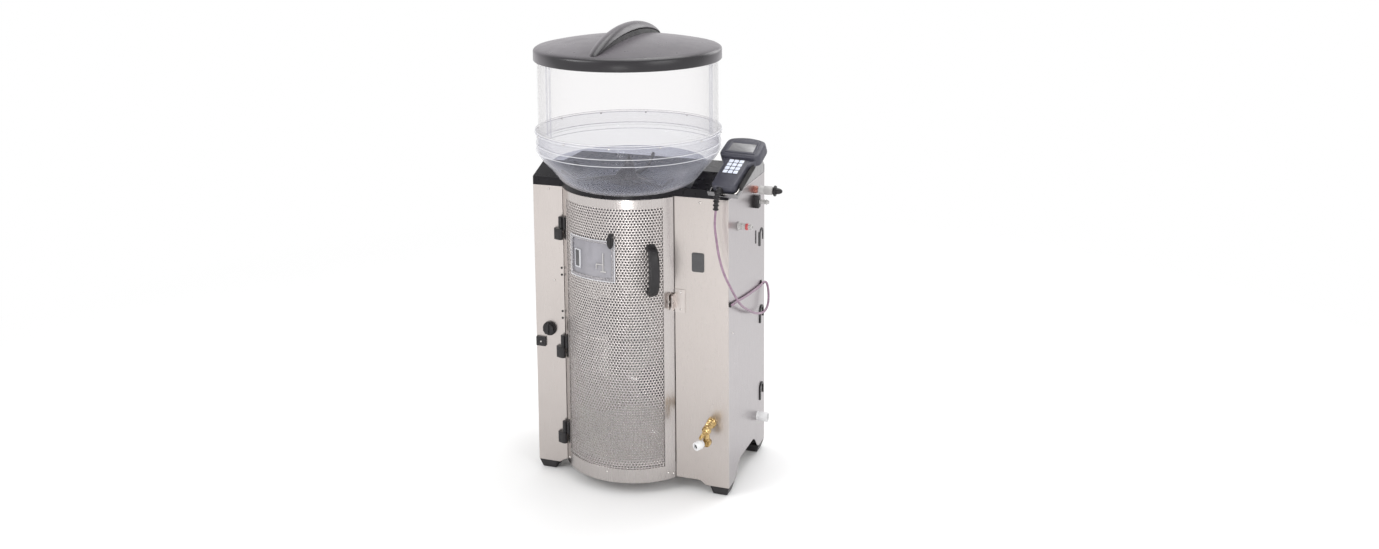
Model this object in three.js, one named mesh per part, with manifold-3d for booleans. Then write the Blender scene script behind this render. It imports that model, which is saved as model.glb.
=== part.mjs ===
// Automatic calf milk feeder: a stainless cabinet with a bulged perforated door, a clear powder hopper on top,
// a handheld terminal in a cradle, and the mixing machinery inside. Millimetres, +Z up, -Y is the front.
// Design coordinates: x = 0 at the cabinet's centre, y = 0 on its flat front, z = 0 on the floor. The finished
// assembly is moved so that the origin is at the bottom centre of its bounding box.
import * as THREE from 'three';
import { mergeVertices } from 'three/addons/utils/BufferGeometryUtils.js';
import Module from 'manifold-3d';

const wasm = await Module();
wasm.setup();

// Driving dimensions
const GAP = 0.3; // clearance between neighbouring pieces
const SHEET = 2; // stainless sheet thickness
const HALF_WIDTH = 300;
const DEPTH = 359;
const FOOT_HEIGHT = 26;
const STEEL_TOP = 876; // top edge of the stainless panels
const TRAY_Z = 78; // underside of the floor tray, above the wavy lower edges

const DOOR_X = -33; // centre of the door's arc
const DOOR_Y = 119;
const DOOR_R = 209; // outer radius of the door
const DOOR_HALF_CHORD = Math.sqrt(DOOR_R ** 2 - DOOR_Y ** 2);
const DOOR_HALF_ANGLE = 55; // degrees each side of straight ahead
const DOOR_BOTTOM = 36;
const DOOR_TOP = 874;
const SEAM = 1.5; // gap beside the door
const SEAM_LEFT = DOOR_X - DOOR_HALF_CHORD - SEAM;
const SEAM_RIGHT = DOOR_X + DOOR_HALF_CHORD + SEAM;
const WINDOW = { from: -36, to: 6, low: 639, high: 750 }; // degrees on the door, and heights
const HINGE = { x: -209, y: -9, radius: 7, pin: 3, bore: 3.6, half: 35, heights: [754, 394, 128] };

const COVER_FRONT_TOP = 901; // top of the cover's front band
const COVER_WALL = 3;
const RIDGE_Y = 81;
const RIDGE_Z = 934;
const SHOULDER_BACK_Y = 118;

const HOPPER_Y = 12; // hopper axis, x = 0
const BOWL_BASE = 903;
const FLANGE_Z = 1060;
const HOPPER_FACETS = 40;
const WALL_R = 256;
const WALL_FOOT = 1026;
const WALL_TOP = 1284;
const LID_R = 266;
const LID_RIM = 1262;
const LID_APEX = 1325;
const GRIP_APEX = 1364;

const JAR = { x: -90, y: 8, radius: 55, floor: 560, top: 735 };
const PUMP = { x: 62, y: 22, z: 300 };
const TERMINAL = { x: 293.7, y: -22.4, z: 898, tilt: 28, yaw: -8.6 };

const rad = THREE.MathUtils.degToRad;

// Materials
const finish = (color, roughness, metalness, extra = {}) =>
  new THREE.MeshStandardMaterial({ color, roughness, metalness, ...extra });
const steel = finish(0xd4ceca, 0.35, 0.9);
const perforated = finish(0xaea8a5, 0.45, 0.85);
const black = finish(0x2e2b2e, 0.5, 0);
const darkGrey = finish(0x454349, 0.4, 0);
const lidPlastic = finish(0x4a464c, 0.35, 0);
const clear = finish(0xe9ecec, 0.08, 0, { transparent: true, opacity: 0.3 });
const shellPlastic = finish(0x43434f, 0.45, 0);
const screenGlass = finish(0x9a9a9c, 0.15, 0);
const keyFoil = finish(0xdfe4f0, 0.4, 0);
const brass = finish(0xbe9a5c, 0.35, 0.9);
const white = finish(0xeeeeea, 0.5, 0);
const greyPlastic = finish(0xb9b7b5, 0.45, 0);
const redPlastic = finish(0xc05a52, 0.4, 0);
const cableMauve = finish(0x96708c, 0.5, 0);
const hoseClear = finish(0xd8d4c8, 0.3, 0);
const motorGrey = finish(0x6d7075, 0.5, 0.5);
const boilerSteel = finish(0xbdbab6, 0.3, 0.9);

// Closed meshes and booleans
function closed(geometry) {
  const loose = geometry.index ? geometry.toNonIndexed() : geometry;
  const plain = new THREE.BufferGeometry();
  plain.setAttribute('position', loose.getAttribute('position'));
  const merged = mergeVertices(plain, 1e-3);
  const place = merged.getAttribute('position');
  const corners = [0, 1, 2].map(() => new THREE.Vector3());
  const kept = [];
  let volume = 0;
  for (let i = 0; i < merged.index.count; i += 3) {
    const ids = [0, 1, 2].map((k) => merged.index.getX(i + k));
    if (new Set(ids).size < 3) continue;
    kept.push(ids);
    ids.forEach((id, k) => corners[k].fromBufferAttribute(place, id));
    volume += corners[0].dot(corners[1].clone().cross(corners[2]));
  }
  merged.setIndex(kept.flatMap((ids) => (volume < 0 ? [...ids].reverse() : ids)));
  return merged;
}

function toSolid(geometry) {
  const shape = closed(geometry);
  return new wasm.Manifold(new wasm.Mesh({
    numProp: 3,
    vertProperties: new Float32Array(shape.getAttribute('position').array),
    triVerts: new Uint32Array(shape.index.array),
  }));
}

function toGeometry(solid) {
  const mesh = solid.getMesh();
  const geometry = new THREE.BufferGeometry();
  geometry.setAttribute('position', new THREE.BufferAttribute(new Float32Array(mesh.vertProperties), 3));
  geometry.setIndex([...mesh.triVerts]);
  return geometry;
}

const combine = (method) => (first, ...others) =>
  toGeometry(others.reduce((sum, other) => sum[method](toSolid(other)), toSolid(first)));
const join = combine('add');
const cut = combine('subtract');

// Shapes
const block = (x0, x1, y0, y1, z0, z1) =>
  new THREE.BoxGeometry(x1 - x0, y1 - y0, z1 - z0).translate((x0 + x1) / 2, (y0 + y1) / 2, (z0 + z1) / 2);

const slab = (shape, z0, z1, curveSegments = 12) =>
  new THREE.ExtrudeGeometry(shape, { depth: z1 - z0, bevelEnabled: false, curveSegments }).translate(0, 0, z0);

// A (y, z) outline pushed along x, and an (x, z) outline pushed along y
const prismX = (shape, x0, x1, curveSegments = 12) =>
  slab(shape, x0, x1, curveSegments).rotateX(Math.PI / 2).rotateZ(Math.PI / 2);
const prismY = (shape, y0, y1, curveSegments = 12) => slab(shape, -y1, -y0, curveSegments).rotateX(Math.PI / 2);

// Round bars along each axis
const rodZ = (x, y, radius, z0, z1, sides = 24) =>
  new THREE.CylinderGeometry(radius, radius, z1 - z0, sides).rotateX(Math.PI / 2).translate(x, y, (z0 + z1) / 2);
const rodY = (x, z, radius, y0, y1, sides = 24) =>
  new THREE.CylinderGeometry(radius, radius, y1 - y0, sides).translate(x, (y0 + y1) / 2, z);
const rodX = (y, z, radius, x0, x1, sides = 24) =>
  new THREE.CylinderGeometry(radius, radius, x1 - x0, sides).rotateZ(Math.PI / 2).translate((x0 + x1) / 2, y, z);

// An (r, z) profile turned about a vertical axis
const turned = (profile, segments = 48, x = 0, y = 0) =>
  new THREE.LatheGeometry(profile.map(([r, z]) => new THREE.Vector2(r, z)), segments)
    .rotateX(Math.PI / 2)
    .translate(x, y, 0);

// The same, turned about the axis along x through (y, z): the profile is (r, x)
const turnedX = (profile, segments, y, z) => turned(profile, segments).rotateY(Math.PI / 2).translate(0, y, z);

function outline(points) {
  const shape = new THREE.Shape();
  points.forEach(([a, b], i) => (i ? shape.lineTo(a, b) : shape.moveTo(a, b)));
  shape.closePath();
  return shape;
}

function roundedRect(a0, a1, b0, b1, r) {
  const shape = new THREE.Shape();
  shape.moveTo(a0 + r, b0);
  shape.lineTo(a1 - r, b0);
  shape.absarc(a1 - r, b0 + r, r, -Math.PI / 2, 0);
  shape.lineTo(a1, b1 - r);
  shape.absarc(a1 - r, b1 - r, r, 0, Math.PI / 2);
  shape.lineTo(a0 + r, b1);
  shape.absarc(a0 + r, b1 - r, r, Math.PI / 2, Math.PI);
  shape.lineTo(a0, b0 + r);
  shape.absarc(a0 + r, b0 + r, r, Math.PI, 1.5 * Math.PI);
  return shape;
}

// Part of a ring about the door's axis, from one angle to another measured from straight ahead
function doorBand(inner, outer, from, to, z0, z1) {
  const start = rad(from - 90);
  const end = rad(to - 90);
  const shape = new THREE.Shape();
  shape.absarc(0, 0, outer, start, end, false);
  shape.absarc(0, 0, inner, end, start, true);
  const segments = Math.max(2, Math.ceil((to - from) / 10));
  return slab(shape, z0, z1, segments).translate(DOOR_X, DOOR_Y, 0);
}

// Moves a piece built about the door's axis, facing straight ahead, round to an angle on the door
const onDoor = (geometry, angle) => geometry.rotateZ(rad(angle)).translate(DOOR_X, DOOR_Y, 0);

// A hose or cable along a smooth curve; an inner radius makes it hollow
function hose(points, outer, inner = 0, steps = 24, quarters = 2) {
  const ring = new THREE.Shape();
  ring.absarc(0, 0, outer, 0, 2 * Math.PI);
  if (inner) {
    const hole = new THREE.Path();
    hole.absarc(0, 0, inner, 0, 2 * Math.PI, true);
    ring.holes.push(hole);
  }
  const path = new THREE.CatmullRomCurve3(points.map((p) => new THREE.Vector3(...p)));
  return new THREE.ExtrudeGeometry(ring, { steps, curveSegments: 2 * quarters, extrudePath: path });
}

const assembly = new THREE.Group();
function add(name, geometry, material, parent = assembly) {
  const mesh = new THREE.Mesh(closed(geometry), material);
  mesh.name = name;
  parent.add(mesh);
  return mesh;
}

// Cabinet
// The space under a panel's wavy edge, as an outline along the panel and up
function archOutline(from, to, rise) {
  const low = FOOT_HEIGHT - 1;
  const ramp = Math.min(75, (to - from) / 2);
  const shape = new THREE.Shape();
  shape.moveTo(from, low);
  shape.bezierCurveTo(from + ramp / 2, low, from + ramp / 2, low + rise, from + ramp, low + rise);
  shape.lineTo(to - ramp, low + rise);
  shape.bezierCurveTo(to - ramp / 2, low + rise, to - ramp / 2, low, to, low);
  shape.closePath();
  return shape;
}

// Rises from a foot to the door and stays high: side is -1 on the left and 1 on the right
function frontArch(side, foot, seam) {
  const low = FOOT_HEIGHT - 1;
  const high = DOOR_BOTTOM + 3;
  const top = foot - side * 34;
  const shape = new THREE.Shape();
  shape.moveTo(foot, low);
  shape.bezierCurveTo(foot - side * 17, low, foot - side * 17, high, top, high);
  shape.lineTo(seam - side * 5, high);
  shape.lineTo(seam - side * 5, low);
  shape.closePath();
  return prismY(shape, -5, 20, 6);
}

const SIDE_END = DEPTH - SHEET - GAP;
const RETURN_LIP = 15;
function sidePanel(side, seam) {
  const edge = side * HALF_WIDTH;
  const inner = edge - side * SHEET;
  const lip = seam + side * SHEET;
  const shape = outline([
    [edge, 0], [seam, 0], [seam, RETURN_LIP], [lip, RETURN_LIP], [lip, SHEET], [inner, SHEET],
    [inner, SIDE_END], [edge, SIDE_END],
  ]);
  const arch = prismX(archOutline(46, 312, 47), Math.min(edge, inner) - 2, Math.max(edge, inner) + 2, 6);
  return cut(slab(shape, FOOT_HEIGHT, STEEL_TOP), arch, frontArch(side, side * 240, seam));
}

add('left_panel', sidePanel(-1, SEAM_LEFT), steel);

// A hook seen from the side: a long front leg, a round top and a shorter rear leg
function hookPlate(z, x0, x1) {
  const hook = new THREE.Shape();
  hook.moveTo(308, -26);
  hook.lineTo(317, -26);
  hook.lineTo(317, 8);
  hook.absarc(328, 8, 11, Math.PI, 0, true);
  hook.lineTo(339, -12);
  hook.lineTo(346, -12);
  hook.lineTo(346, 8);
  hook.absarc(327, 8, 19, 0, Math.PI, false);
  hook.closePath();
  return prismX(hook, x0, x1, 8).translate(0, 0, z);
}

function rightPanel() {
  const slots = [[265, 677, 718], [298, 661, 704]].map(([y, z0, z1]) =>
    block(HALF_WIDTH - 5, HALF_WIDTH + 5, y, y + 7, z0, z1));
  return cut(sidePanel(1, SEAM_RIGHT), ...slots, hookPlate(684, HALF_WIDTH - 5, HALF_WIDTH + 5));
}
add('right_panel', rightPanel(), steel);

function rearPanel() {
  const plate = block(-HALF_WIDTH, HALF_WIDTH, DEPTH - SHEET, DEPTH, FOOT_HEIGHT, STEEL_TOP);
  const arch = prismY(archOutline(-240, 240, 47), DEPTH - 10, DEPTH + 10, 6);
  const vents = [];
  for (const z of [160, 190, 220, 700, 730, 760]) vents.push(block(-200, -60, DEPTH - 5, DEPTH + 5, z, z + 8));
  return cut(plate, arch, ...vents);
}
add('rear_panel', rearPanel(), steel);

// Plan of the floor tray: the cabinet's inside with the door's bulge in front
function trayOutline(inset) {
  const half = HALF_WIDTH - 4 - inset;
  const front = RETURN_LIP + 2 + inset;
  const bulge = DOOR_R - 11 - inset;
  const reach = Math.sqrt(bulge ** 2 - (DOOR_Y - front) ** 2);
  const turn = Math.atan2(front - DOOR_Y, reach);
  const shape = new THREE.Shape();
  shape.moveTo(-half, front);
  shape.lineTo(DOOR_X - reach, front);
  shape.absarc(DOOR_X, DOOR_Y, bulge, -Math.PI - turn, turn, false);
  shape.lineTo(half, front);
  shape.lineTo(half, DEPTH - 6 - inset);
  shape.lineTo(-half, DEPTH - 6 - inset);
  shape.closePath();
  return shape;
}
const TRAY_RIM = 18;
add('floor_tray', cut(
  slab(trayOutline(0), TRAY_Z, TRAY_Z + TRAY_RIM, 16),
  slab(trayOutline(SHEET), TRAY_Z + SHEET, TRAY_Z + TRAY_RIM + 1, 16),
  rodZ(0, 180, 12, TRAY_Z - 1, TRAY_Z + SHEET + 1, 16),
), steel);

add('partition_panel', cut(
  block(146, 148, 22, 350, TRAY_Z + SHEET + GAP, 868),
  rodX(180, 420, 22, 140, 154),
  rodX(180, 640, 22, 140, 154),
), steel);

// Tapered corner feet, each with a post that carries the floor tray
const FOOT_TOP = 58;
const FOOT_SOLE = 42;
function cornerFoot(sideX, sideY) {
  const x = sideX * (HALF_WIDTH - FOOT_TOP / 2);
  const y = sideY < 0 ? FOOT_TOP / 2 : DEPTH - FOOT_TOP / 2;
  const top = FOOT_HEIGHT - GAP;
  const taper = new THREE.CylinderGeometry(FOOT_TOP / Math.SQRT2, FOOT_SOLE / Math.SQRT2, top, 4, 1)
    .rotateY(Math.PI / 4).rotateX(Math.PI / 2).translate(x, y, top / 2);
  const postX = x + sideX * 4;
  const postY = y + sideY * 3;
  return join(taper, block(postX - 20, postX + 20, postY - 19, postY + 19, top - 4, TRAY_Z - GAP));
}
add('foot_front_left', cornerFoot(-1, -1), black);
add('foot_front_right', cornerFoot(1, -1), black);
add('foot_rear_left', cornerFoot(-1, 1), black);
add('foot_rear_right', cornerFoot(1, 1), black);

// Moulded top cover: a shell with a front band, two sloping shoulders and a low deck
function coverOutline(inset) {
  const radius = DOOR_R + 2 - inset;
  const reach = Math.sqrt(radius ** 2 - (DOOR_Y - inset) ** 2);
  const turn = Math.atan2(inset - DOOR_Y, reach);
  const half = HALF_WIDTH - inset;
  const shape = new THREE.Shape();
  shape.moveTo(-half, inset);
  shape.lineTo(DOOR_X - reach, inset);
  shape.absarc(DOOR_X, DOOR_Y, radius, -Math.PI - turn, turn, false);
  shape.lineTo(half, inset);
  shape.lineTo(half, DEPTH - inset);
  shape.lineTo(-half, DEPTH - inset);
  shape.closePath();
  return shape;
}

function shoulder(from, to, inset) {
  return prismX(outline([
    [inset, COVER_FRONT_TOP - 8], [inset, COVER_FRONT_TOP - inset], [RIDGE_Y, RIDGE_Z - inset],
    [SHOULDER_BACK_Y - inset, COVER_FRONT_TOP - inset], [SHOULDER_BACK_Y - inset, COVER_FRONT_TOP - 8],
  ]), from, to);
}

// Outer surface of the bowl, grown by a margin
const bowlOutside = (margin) => [
  [0, BOWL_BASE - margin], [160, BOWL_BASE - margin], [172 + margin, BOWL_BASE + 3 - margin], [196 + margin, 921],
  [222 + margin, 953], [244 + margin, 977], [256 + margin, 994], [261 + margin, 1008], [261 + margin, 1080],
  [0, 1080],
];

function topCover() {
  const bowl = (margin) => turned(bowlOutside(margin), HOPPER_FACETS, 0, HOPPER_Y);
  const reach = 190; // how far in the shoulders start, inside the bowl's clearance
  const outer = cut(join(
    slab(coverOutline(0), STEEL_TOP + GAP, COVER_FRONT_TOP, 16),
    shoulder(-HALF_WIDTH, -reach, 0),
    shoulder(reach, HALF_WIDTH, 0),
  ), bowl(1));
  const hollow = join(
    slab(coverOutline(COVER_WALL), STEEL_TOP - 5, COVER_FRONT_TOP - COVER_WALL, 16),
    shoulder(COVER_WALL - HALF_WIDTH, -reach - 34, COVER_WALL),
    shoulder(reach + 34, HALF_WIDTH - COVER_WALL, COVER_WALL),
  );
  return cut(outer, hollow, rodZ(0, HOPPER_Y, 72, STEEL_TOP, COVER_FRONT_TOP + 20, 32));
}
add('top_cover', topCover(), black);

// Door
const DOOR_SKIN = DOOR_R - SHEET;
const MESH_R = DOOR_SKIN - GAP;
const MESH_SKIN = MESH_R - 1.5;
const BORDER = 45.5; // degrees to the edge of the perforated area
function doorFrame() {
  const half = DOOR_HALF_ANGLE;
  const skin = doorBand(DOOR_SKIN, DOOR_R, -half, half, DOOR_BOTTOM, DOOR_TOP);
  const bottomLip = doorBand(DOOR_R - 14, DOOR_R - 1, -half, half, DOOR_BOTTOM, DOOR_BOTTOM + SHEET);
  const topLip = doorBand(DOOR_R - 14, DOOR_R - 1, -half, half, DOOR_TOP - SHEET, DOOR_TOP);
  const opening = doorBand(DOOR_R - 20, DOOR_R + 5, -BORDER, BORDER, 78, 849);
  return join(cut(skin, opening), bottomLip, topLip);
}
const door = new THREE.Group();
assembly.add(door);
add('door_frame', doorFrame(), steel, door);

add('door_mesh', cut(
  doorBand(MESH_SKIN, MESH_R, -50, 50, 58, 862),
  doorBand(MESH_SKIN - 5, MESH_R + 5, WINDOW.from - 1, WINDOW.to + 1, WINDOW.low - 4, WINDOW.high + 4),
), perforated, door);

add('window_frame', cut(
  doorBand(MESH_R + GAP, DOOR_R + 0.5, WINDOW.from - 3.5, WINDOW.to + 3.5, WINDOW.low - 11, WINDOW.high + 11),
  doorBand(MESH_R - 5, DOOR_R + 5, WINDOW.from, WINDOW.to, WINDOW.low, WINDOW.high),
), steel, door);

add('window_pane', doorBand(
  MESH_SKIN - GAP - 2, MESH_SKIN - GAP, WINDOW.from - 2.5, WINDOW.to + 2.5, WINDOW.low - 9, WINDOW.high + 9,
), clear, door);

function windowCatch() {
  const oval = new THREE.Shape();
  oval.absellipse(0, 0, 9, 22, 0, 2 * Math.PI);
  const stop = new THREE.Shape();
  stop.absellipse(0, 0, 5, 17, 0, 2 * Math.PI);
  const base = -(DOOR_R + 1.1);
  return onDoor(join(prismY(oval, base - 8, base, 8), prismY(stop, base - 12, base - 7, 6)).translate(0, 0, 755), 4);
}
add('window_catch', windowCatch(), black, door);

// Bow handle: an arch seen from the side, as wide as a hand's grip is thick
function bowHandle() {
  const reach = 42;
  const bow = new THREE.Shape();
  bow.moveTo(0, -76);
  bow.bezierCurveTo(-26, -72, -reach, -42, -reach, 0);
  bow.bezierCurveTo(-reach, 42, -26, 72, 0, 76);
  bow.lineTo(0, 54);
  bow.bezierCurveTo(-16, 50, -28, 30, -28, 0);
  bow.bezierCurveTo(-28, -30, -16, -50, 0, -54);
  bow.closePath();
  return onDoor(prismX(bow, -15, 15, 8).translate(0, -(MESH_R + 1), 669), 35.5);
}
add('door_handle', bowHandle(), black, door);

// Two ears side by side with a padlock hole through both
const HASP_Z = 571;
const EAR_TIP = -30;
const padlockHole = () => rodX(-21, HASP_Z, 4, 120, 160, 16);
add('door_hasp', cut(join(
  onDoor(block(-8, 8, -(DOOR_R + 2), -(DOOR_R + GAP), HASP_Z - 22, HASP_Z + 22), 50.5),
  block(130, 132, EAR_TIP, -12.6, HASP_Z - 22, HASP_Z + 22),
), padlockHole()), steel, door);

add('hasp_bracket', cut(join(
  block(141, 171, -GAP - SHEET, -GAP, HASP_Z - 34, HASP_Z + 34),
  block(141, 143, EAR_TIP, -GAP, HASP_Z - 22, HASP_Z + 22),
), padlockHole()), steel);

// Lift-off hinges: the fixed half carries the pin, the door's half drops over it
function hingeFixed(z) {
  const low = z - HINGE.half;
  const block1 = block(-232, HINGE.x, HINGE.y, -GAP, low, z - 1);
  const knuckle = rodZ(HINGE.x, HINGE.y, HINGE.radius, low, z - 1, 20);
  return join(block1, knuckle, rodZ(HINGE.x, HINGE.y, HINGE.pin, low + 2, z + HINGE.half - 4, 20));
}
function hingeLeaf(z) {
  const high = z + HINGE.half;
  const plate = onDoor(block(-9, 9, -(DOOR_R + 5), -(DOOR_R + GAP), z, high), -50.5);
  const knuckle = rodZ(HINGE.x, HINGE.y, HINGE.radius, z, high, 20);
  const bore = rodZ(HINGE.x, HINGE.y, HINGE.bore, z - 1, high - 2, 20);
  return cut(join(plate, knuckle), bore);
}
HINGE.heights.forEach((z, i) => {
  const place = ['upper', 'middle', 'lower'][i];
  add(`hinge_fixed_${place}`, hingeFixed(z), black);
  add(`hinge_leaf_${place}`, hingeLeaf(z), black, door);
});

// Fittings on the front strips
const SWITCH = { x: -255, z: 442 };
add('switch_knob', join(
  rodY(SWITCH.x, SWITCH.z, 21, -9, -GAP, 32),
  rodY(SWITCH.x, SWITCH.z, 17, -16, -8, 32),
  block(SWITCH.x - 4, SWITCH.x + 4, -20, -15, SWITCH.z - 15, SWITCH.z + 15),
), black);

add('power_socket', cut(
  prismY(roundedRect(-299, -268, 385, 414, 3), -7, -GAP, 4),
  rodY(-283, 399.5, 9, -8, -3, 20),
), black);

add('service_window', prismY(roundedRect(192, 229, 661, 717, 6), -GAP - 2, -GAP, 4), darkGrey);

// Brass tap with a lever on its front and a white hose tail
const TAP = { x: 250, z: 220, ball: -48, outlet: 182, stub: 12 };
const spoutWay = new THREE.Vector3(-0.5, -0.85, -0.12).normalize();
const spoutTurn = new THREE.Quaternion().setFromUnitVectors(new THREE.Vector3(0, 0, 1), spoutWay);
function tapBody() {
  const stub = rodZ(0, 0, 7, 0, TAP.stub, 16)
    .applyQuaternion(spoutTurn)
    .translate(TAP.x - 3, TAP.ball, TAP.outlet);
  return join(
    stub,
    rodY(TAP.x, TAP.z, 14, -8, -GAP, 6),
    rodY(TAP.x, TAP.z, 9, TAP.ball, -6, 16),
    new THREE.SphereGeometry(13, 12, 8).translate(TAP.x, TAP.ball, TAP.z - 4),
    rodZ(TAP.x - 3, TAP.ball, 9.5, TAP.outlet - 12, TAP.z - 4, 16),
    rodZ(TAP.x - 3, TAP.ball, 12, TAP.outlet + 14, TAP.outlet + 24, 6),
  );
}
add('tap_body', tapBody(), brass);
add('tap_lever', join(
  rodY(TAP.x, TAP.z - 4, 5.5, TAP.ball - 20, TAP.ball - 13.4, 16),
  block(TAP.x - 34, TAP.x + 4, TAP.ball - 20, TAP.ball - 16, TAP.z - 10, TAP.z + 1),
), brass);

const nozzle = add('tap_nozzle', turned([
  [0, 0], [10, 0], [10, 8], [11.5, 9], [11.5, 34], [6, 34], [6, 6], [0, 6],
], 20), white);
nozzle.quaternion.copy(spoutTurn);
nozzle.position.set(TAP.x - 3, TAP.ball, TAP.outlet).addScaledVector(spoutWay, TAP.stub + GAP);

// Hopper
const bowlProfile = [
  [60, 868], [64, 868], [64, BOWL_BASE], [160, BOWL_BASE], [172, BOWL_BASE + 3], [196, 921], [222, 953], [244, 977],
  [256, 994], [261, 1008], [261, 1052], [264, 1054], [264, FLANGE_Z], [257.5, FLANGE_Z], [257.5, WALL_FOOT],
  [252, WALL_FOOT], [252, 1022], [257.5, 1017], [257.5, 1009], [253, 996], [241, 979], [219, 956], [193.5, 924],
  [171, 909], [160, 906], [60, 906], [60, 868],
];
add('hopper_bowl', turned(bowlProfile, HOPPER_FACETS, 0, HOPPER_Y), clear);

add('hopper_wall', turned([
  [WALL_R - 3, WALL_FOOT + GAP], [WALL_R, WALL_FOOT + GAP], [WALL_R, WALL_TOP], [WALL_R - 3, WALL_TOP],
  [WALL_R - 3, WALL_FOOT + GAP],
], HOPPER_FACETS, 0, HOPPER_Y), clear);

add('hopper_ring', turned([
  [WALL_R + 0.5, FLANGE_Z + GAP], [263, FLANGE_Z + GAP], [263, FLANGE_Z + 5], [WALL_R + 0.5, FLANGE_Z + 5],
  [WALL_R + 0.5, FLANGE_Z + GAP],
], HOPPER_FACETS, 0, HOPPER_Y), clear);

// Domed lid: a thin shell with a rim, and an arched grip from front to back with room for fingers under it
const lidOutside = [
  [0, LID_APEX], [70, LID_APEX - 2], [140, LID_APEX - 7], [200, LID_APEX - 14], [245, LID_APEX - 23],
  [261, LID_APEX - 29], [LID_R, LID_APEX - 36], [LID_R, LID_RIM],
];
const lidInside = [
  [262, LID_RIM], [262, WALL_TOP + 2], [257, WALL_TOP + GAP], [246, WALL_TOP + GAP], [244, LID_APEX - 27],
  [200, LID_APEX - 18], [140, LID_APEX - 11], [70, LID_APEX - 6], [0, LID_APEX - 4],
];
function arcedGrip() {
  const front = -236;
  const back = 260;
  const middle = (front + back) / 2;
  const low = 1298;
  const grip = new THREE.Shape();
  grip.moveTo(front, low);
  grip.quadraticCurveTo(-110, GRIP_APEX, middle, GRIP_APEX);
  grip.quadraticCurveTo(134, GRIP_APEX, back, low);
  grip.closePath();
  const fingers = new THREE.Shape();
  fingers.moveTo(-150, 1316);
  fingers.quadraticCurveTo(-60, 1342, middle, 1342);
  fingers.quadraticCurveTo(84, 1342, 174, 1316);
  fingers.quadraticCurveTo(84, 1328, middle, 1328);
  fingers.quadraticCurveTo(-60, 1328, -150, 1316);
  return cut(prismX(grip, -20, 20, 10), prismX(fingers, -25, 25, 10));
}
function hopperLid() {
  const shell = turned([...lidOutside, ...lidInside], HOPPER_FACETS, 0, HOPPER_Y);
  const inside = turned([[0, LID_RIM - 1], ...lidInside], HOPPER_FACETS, 0, HOPPER_Y);
  return join(shell, cut(arcedGrip(), inside));
}
add('hopper_lid', hopperLid(), lidPlastic);

// Agitator and powder metering, on one vertical shaft
const SHAFT_R = 10;
function agitator() {
  const arm = () => prismX(outline([
    [8, 911], [150, 911], [198, 942], [192, 950], [148, 920], [40, 926], [8, 962],
  ]), -4, 4);
  const arms = [0, 120, 240].map((turn) => arm().rotateZ(rad(turn)).translate(0, HOPPER_Y, 0));
  const hub = turned([[0, 908], [16, 908], [16, 955], [0, 985]], 24, 0, HOPPER_Y);
  return join(hub, rodZ(0, HOPPER_Y, SHAFT_R, 795, 912, 20), ...arms);
}
add('agitator', agitator(), darkGrey);

const HOUSING_R = 72;
const CHUTE = { x: -44, y: HOPPER_Y };
function dosingHousing() {
  const cup = turned([
    [0, 786], [HOUSING_R, 786], [HOUSING_R, 866], [HOUSING_R - 5, 866], [HOUSING_R - 5, 791], [0, 791],
  ], 32, 0, HOPPER_Y);
  const bend = [[CHUTE.x - 3, 12, 774], [CHUTE.x - 18, 10, 758], [CHUTE.x - 34, 8, 744]];
  const chute = hose([[CHUTE.x, CHUTE.y, 790], ...bend], 20, 0, 6, 3);
  const bore = hose([[CHUTE.x, CHUTE.y, 800], [CHUTE.x, CHUTE.y, 790], ...bend, [CHUTE.x - 50, 6, 730]], 16, 0, 8, 3);
  return cut(join(cup, chute), bore, rodZ(0, HOPPER_Y, 12, 780, 800));
}
add('dosing_housing', dosingHousing(), darkGrey);

function dosingWheel() {
  const vanes = 8;
  const hubR = 20;
  const vaneR = HOUSING_R - 7;
  const half = rad(5);
  const points = [];
  for (let i = 0; i < vanes; i += 1) {
    const turn = (i * 2 * Math.PI) / vanes;
    for (const [r, da] of [[hubR, -3 * half], [vaneR, -half], [vaneR, half], [hubR, 3 * half]]) {
      points.push([r * Math.cos(turn + da), r * Math.sin(turn + da)]);
    }
  }
  return cut(slab(outline(points), 796, 824), rodZ(0, 0, SHAFT_R + GAP, 790, 830, 20)).translate(0, HOPPER_Y, 0);
}
add('dosing_wheel', dosingWheel(), greyPlastic);
add('dosing_motor', join(rodZ(20, HOPPER_Y + 8, 29, 700, 776), rodZ(20, HOPPER_Y + 8, 22, 776, 785)), motorGrey);

// Mixing cup behind the window, with its impeller and motor
add('mixer_jar', cut(turned([
  [0, JAR.floor], [JAR.radius - 8, JAR.floor], [JAR.radius, JAR.floor + 8], [JAR.radius, JAR.top - 4],
  [JAR.radius + 3, JAR.top], [JAR.radius, JAR.top], [JAR.radius - 2.5, JAR.top - 4],
  [JAR.radius - 2.5, JAR.floor + 9], [JAR.radius - 9, JAR.floor + 3], [0, JAR.floor + 3],
], 24, JAR.x, JAR.y), rodZ(JAR.x, JAR.y, 6, JAR.floor - 5, JAR.floor + 5, 16)), boilerSteel);

function impeller() {
  const blade = (turn) => block(0, 28, -1.5, 1.5, 568, 578).rotateZ(rad(turn));
  const blades = [0, 90, 180, 270].map((turn) => blade(turn).translate(JAR.x, JAR.y, 0));
  return join(rodZ(JAR.x, JAR.y, 4.5, 556, 586, 16), rodZ(JAR.x, JAR.y, 30, 566, 569, 24), ...blades);
}
add('mixer_impeller', impeller(), white);
add('mixer_motor', join(
  rodZ(JAR.x, JAR.y, 42, 450, 548),
  rodZ(JAR.x, JAR.y, 30, 546, 555.7),
  block(JAR.x - 46, JAR.x + 46, JAR.y - 12, JAR.y + 12, 452, 462),
), motorGrey);

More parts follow.
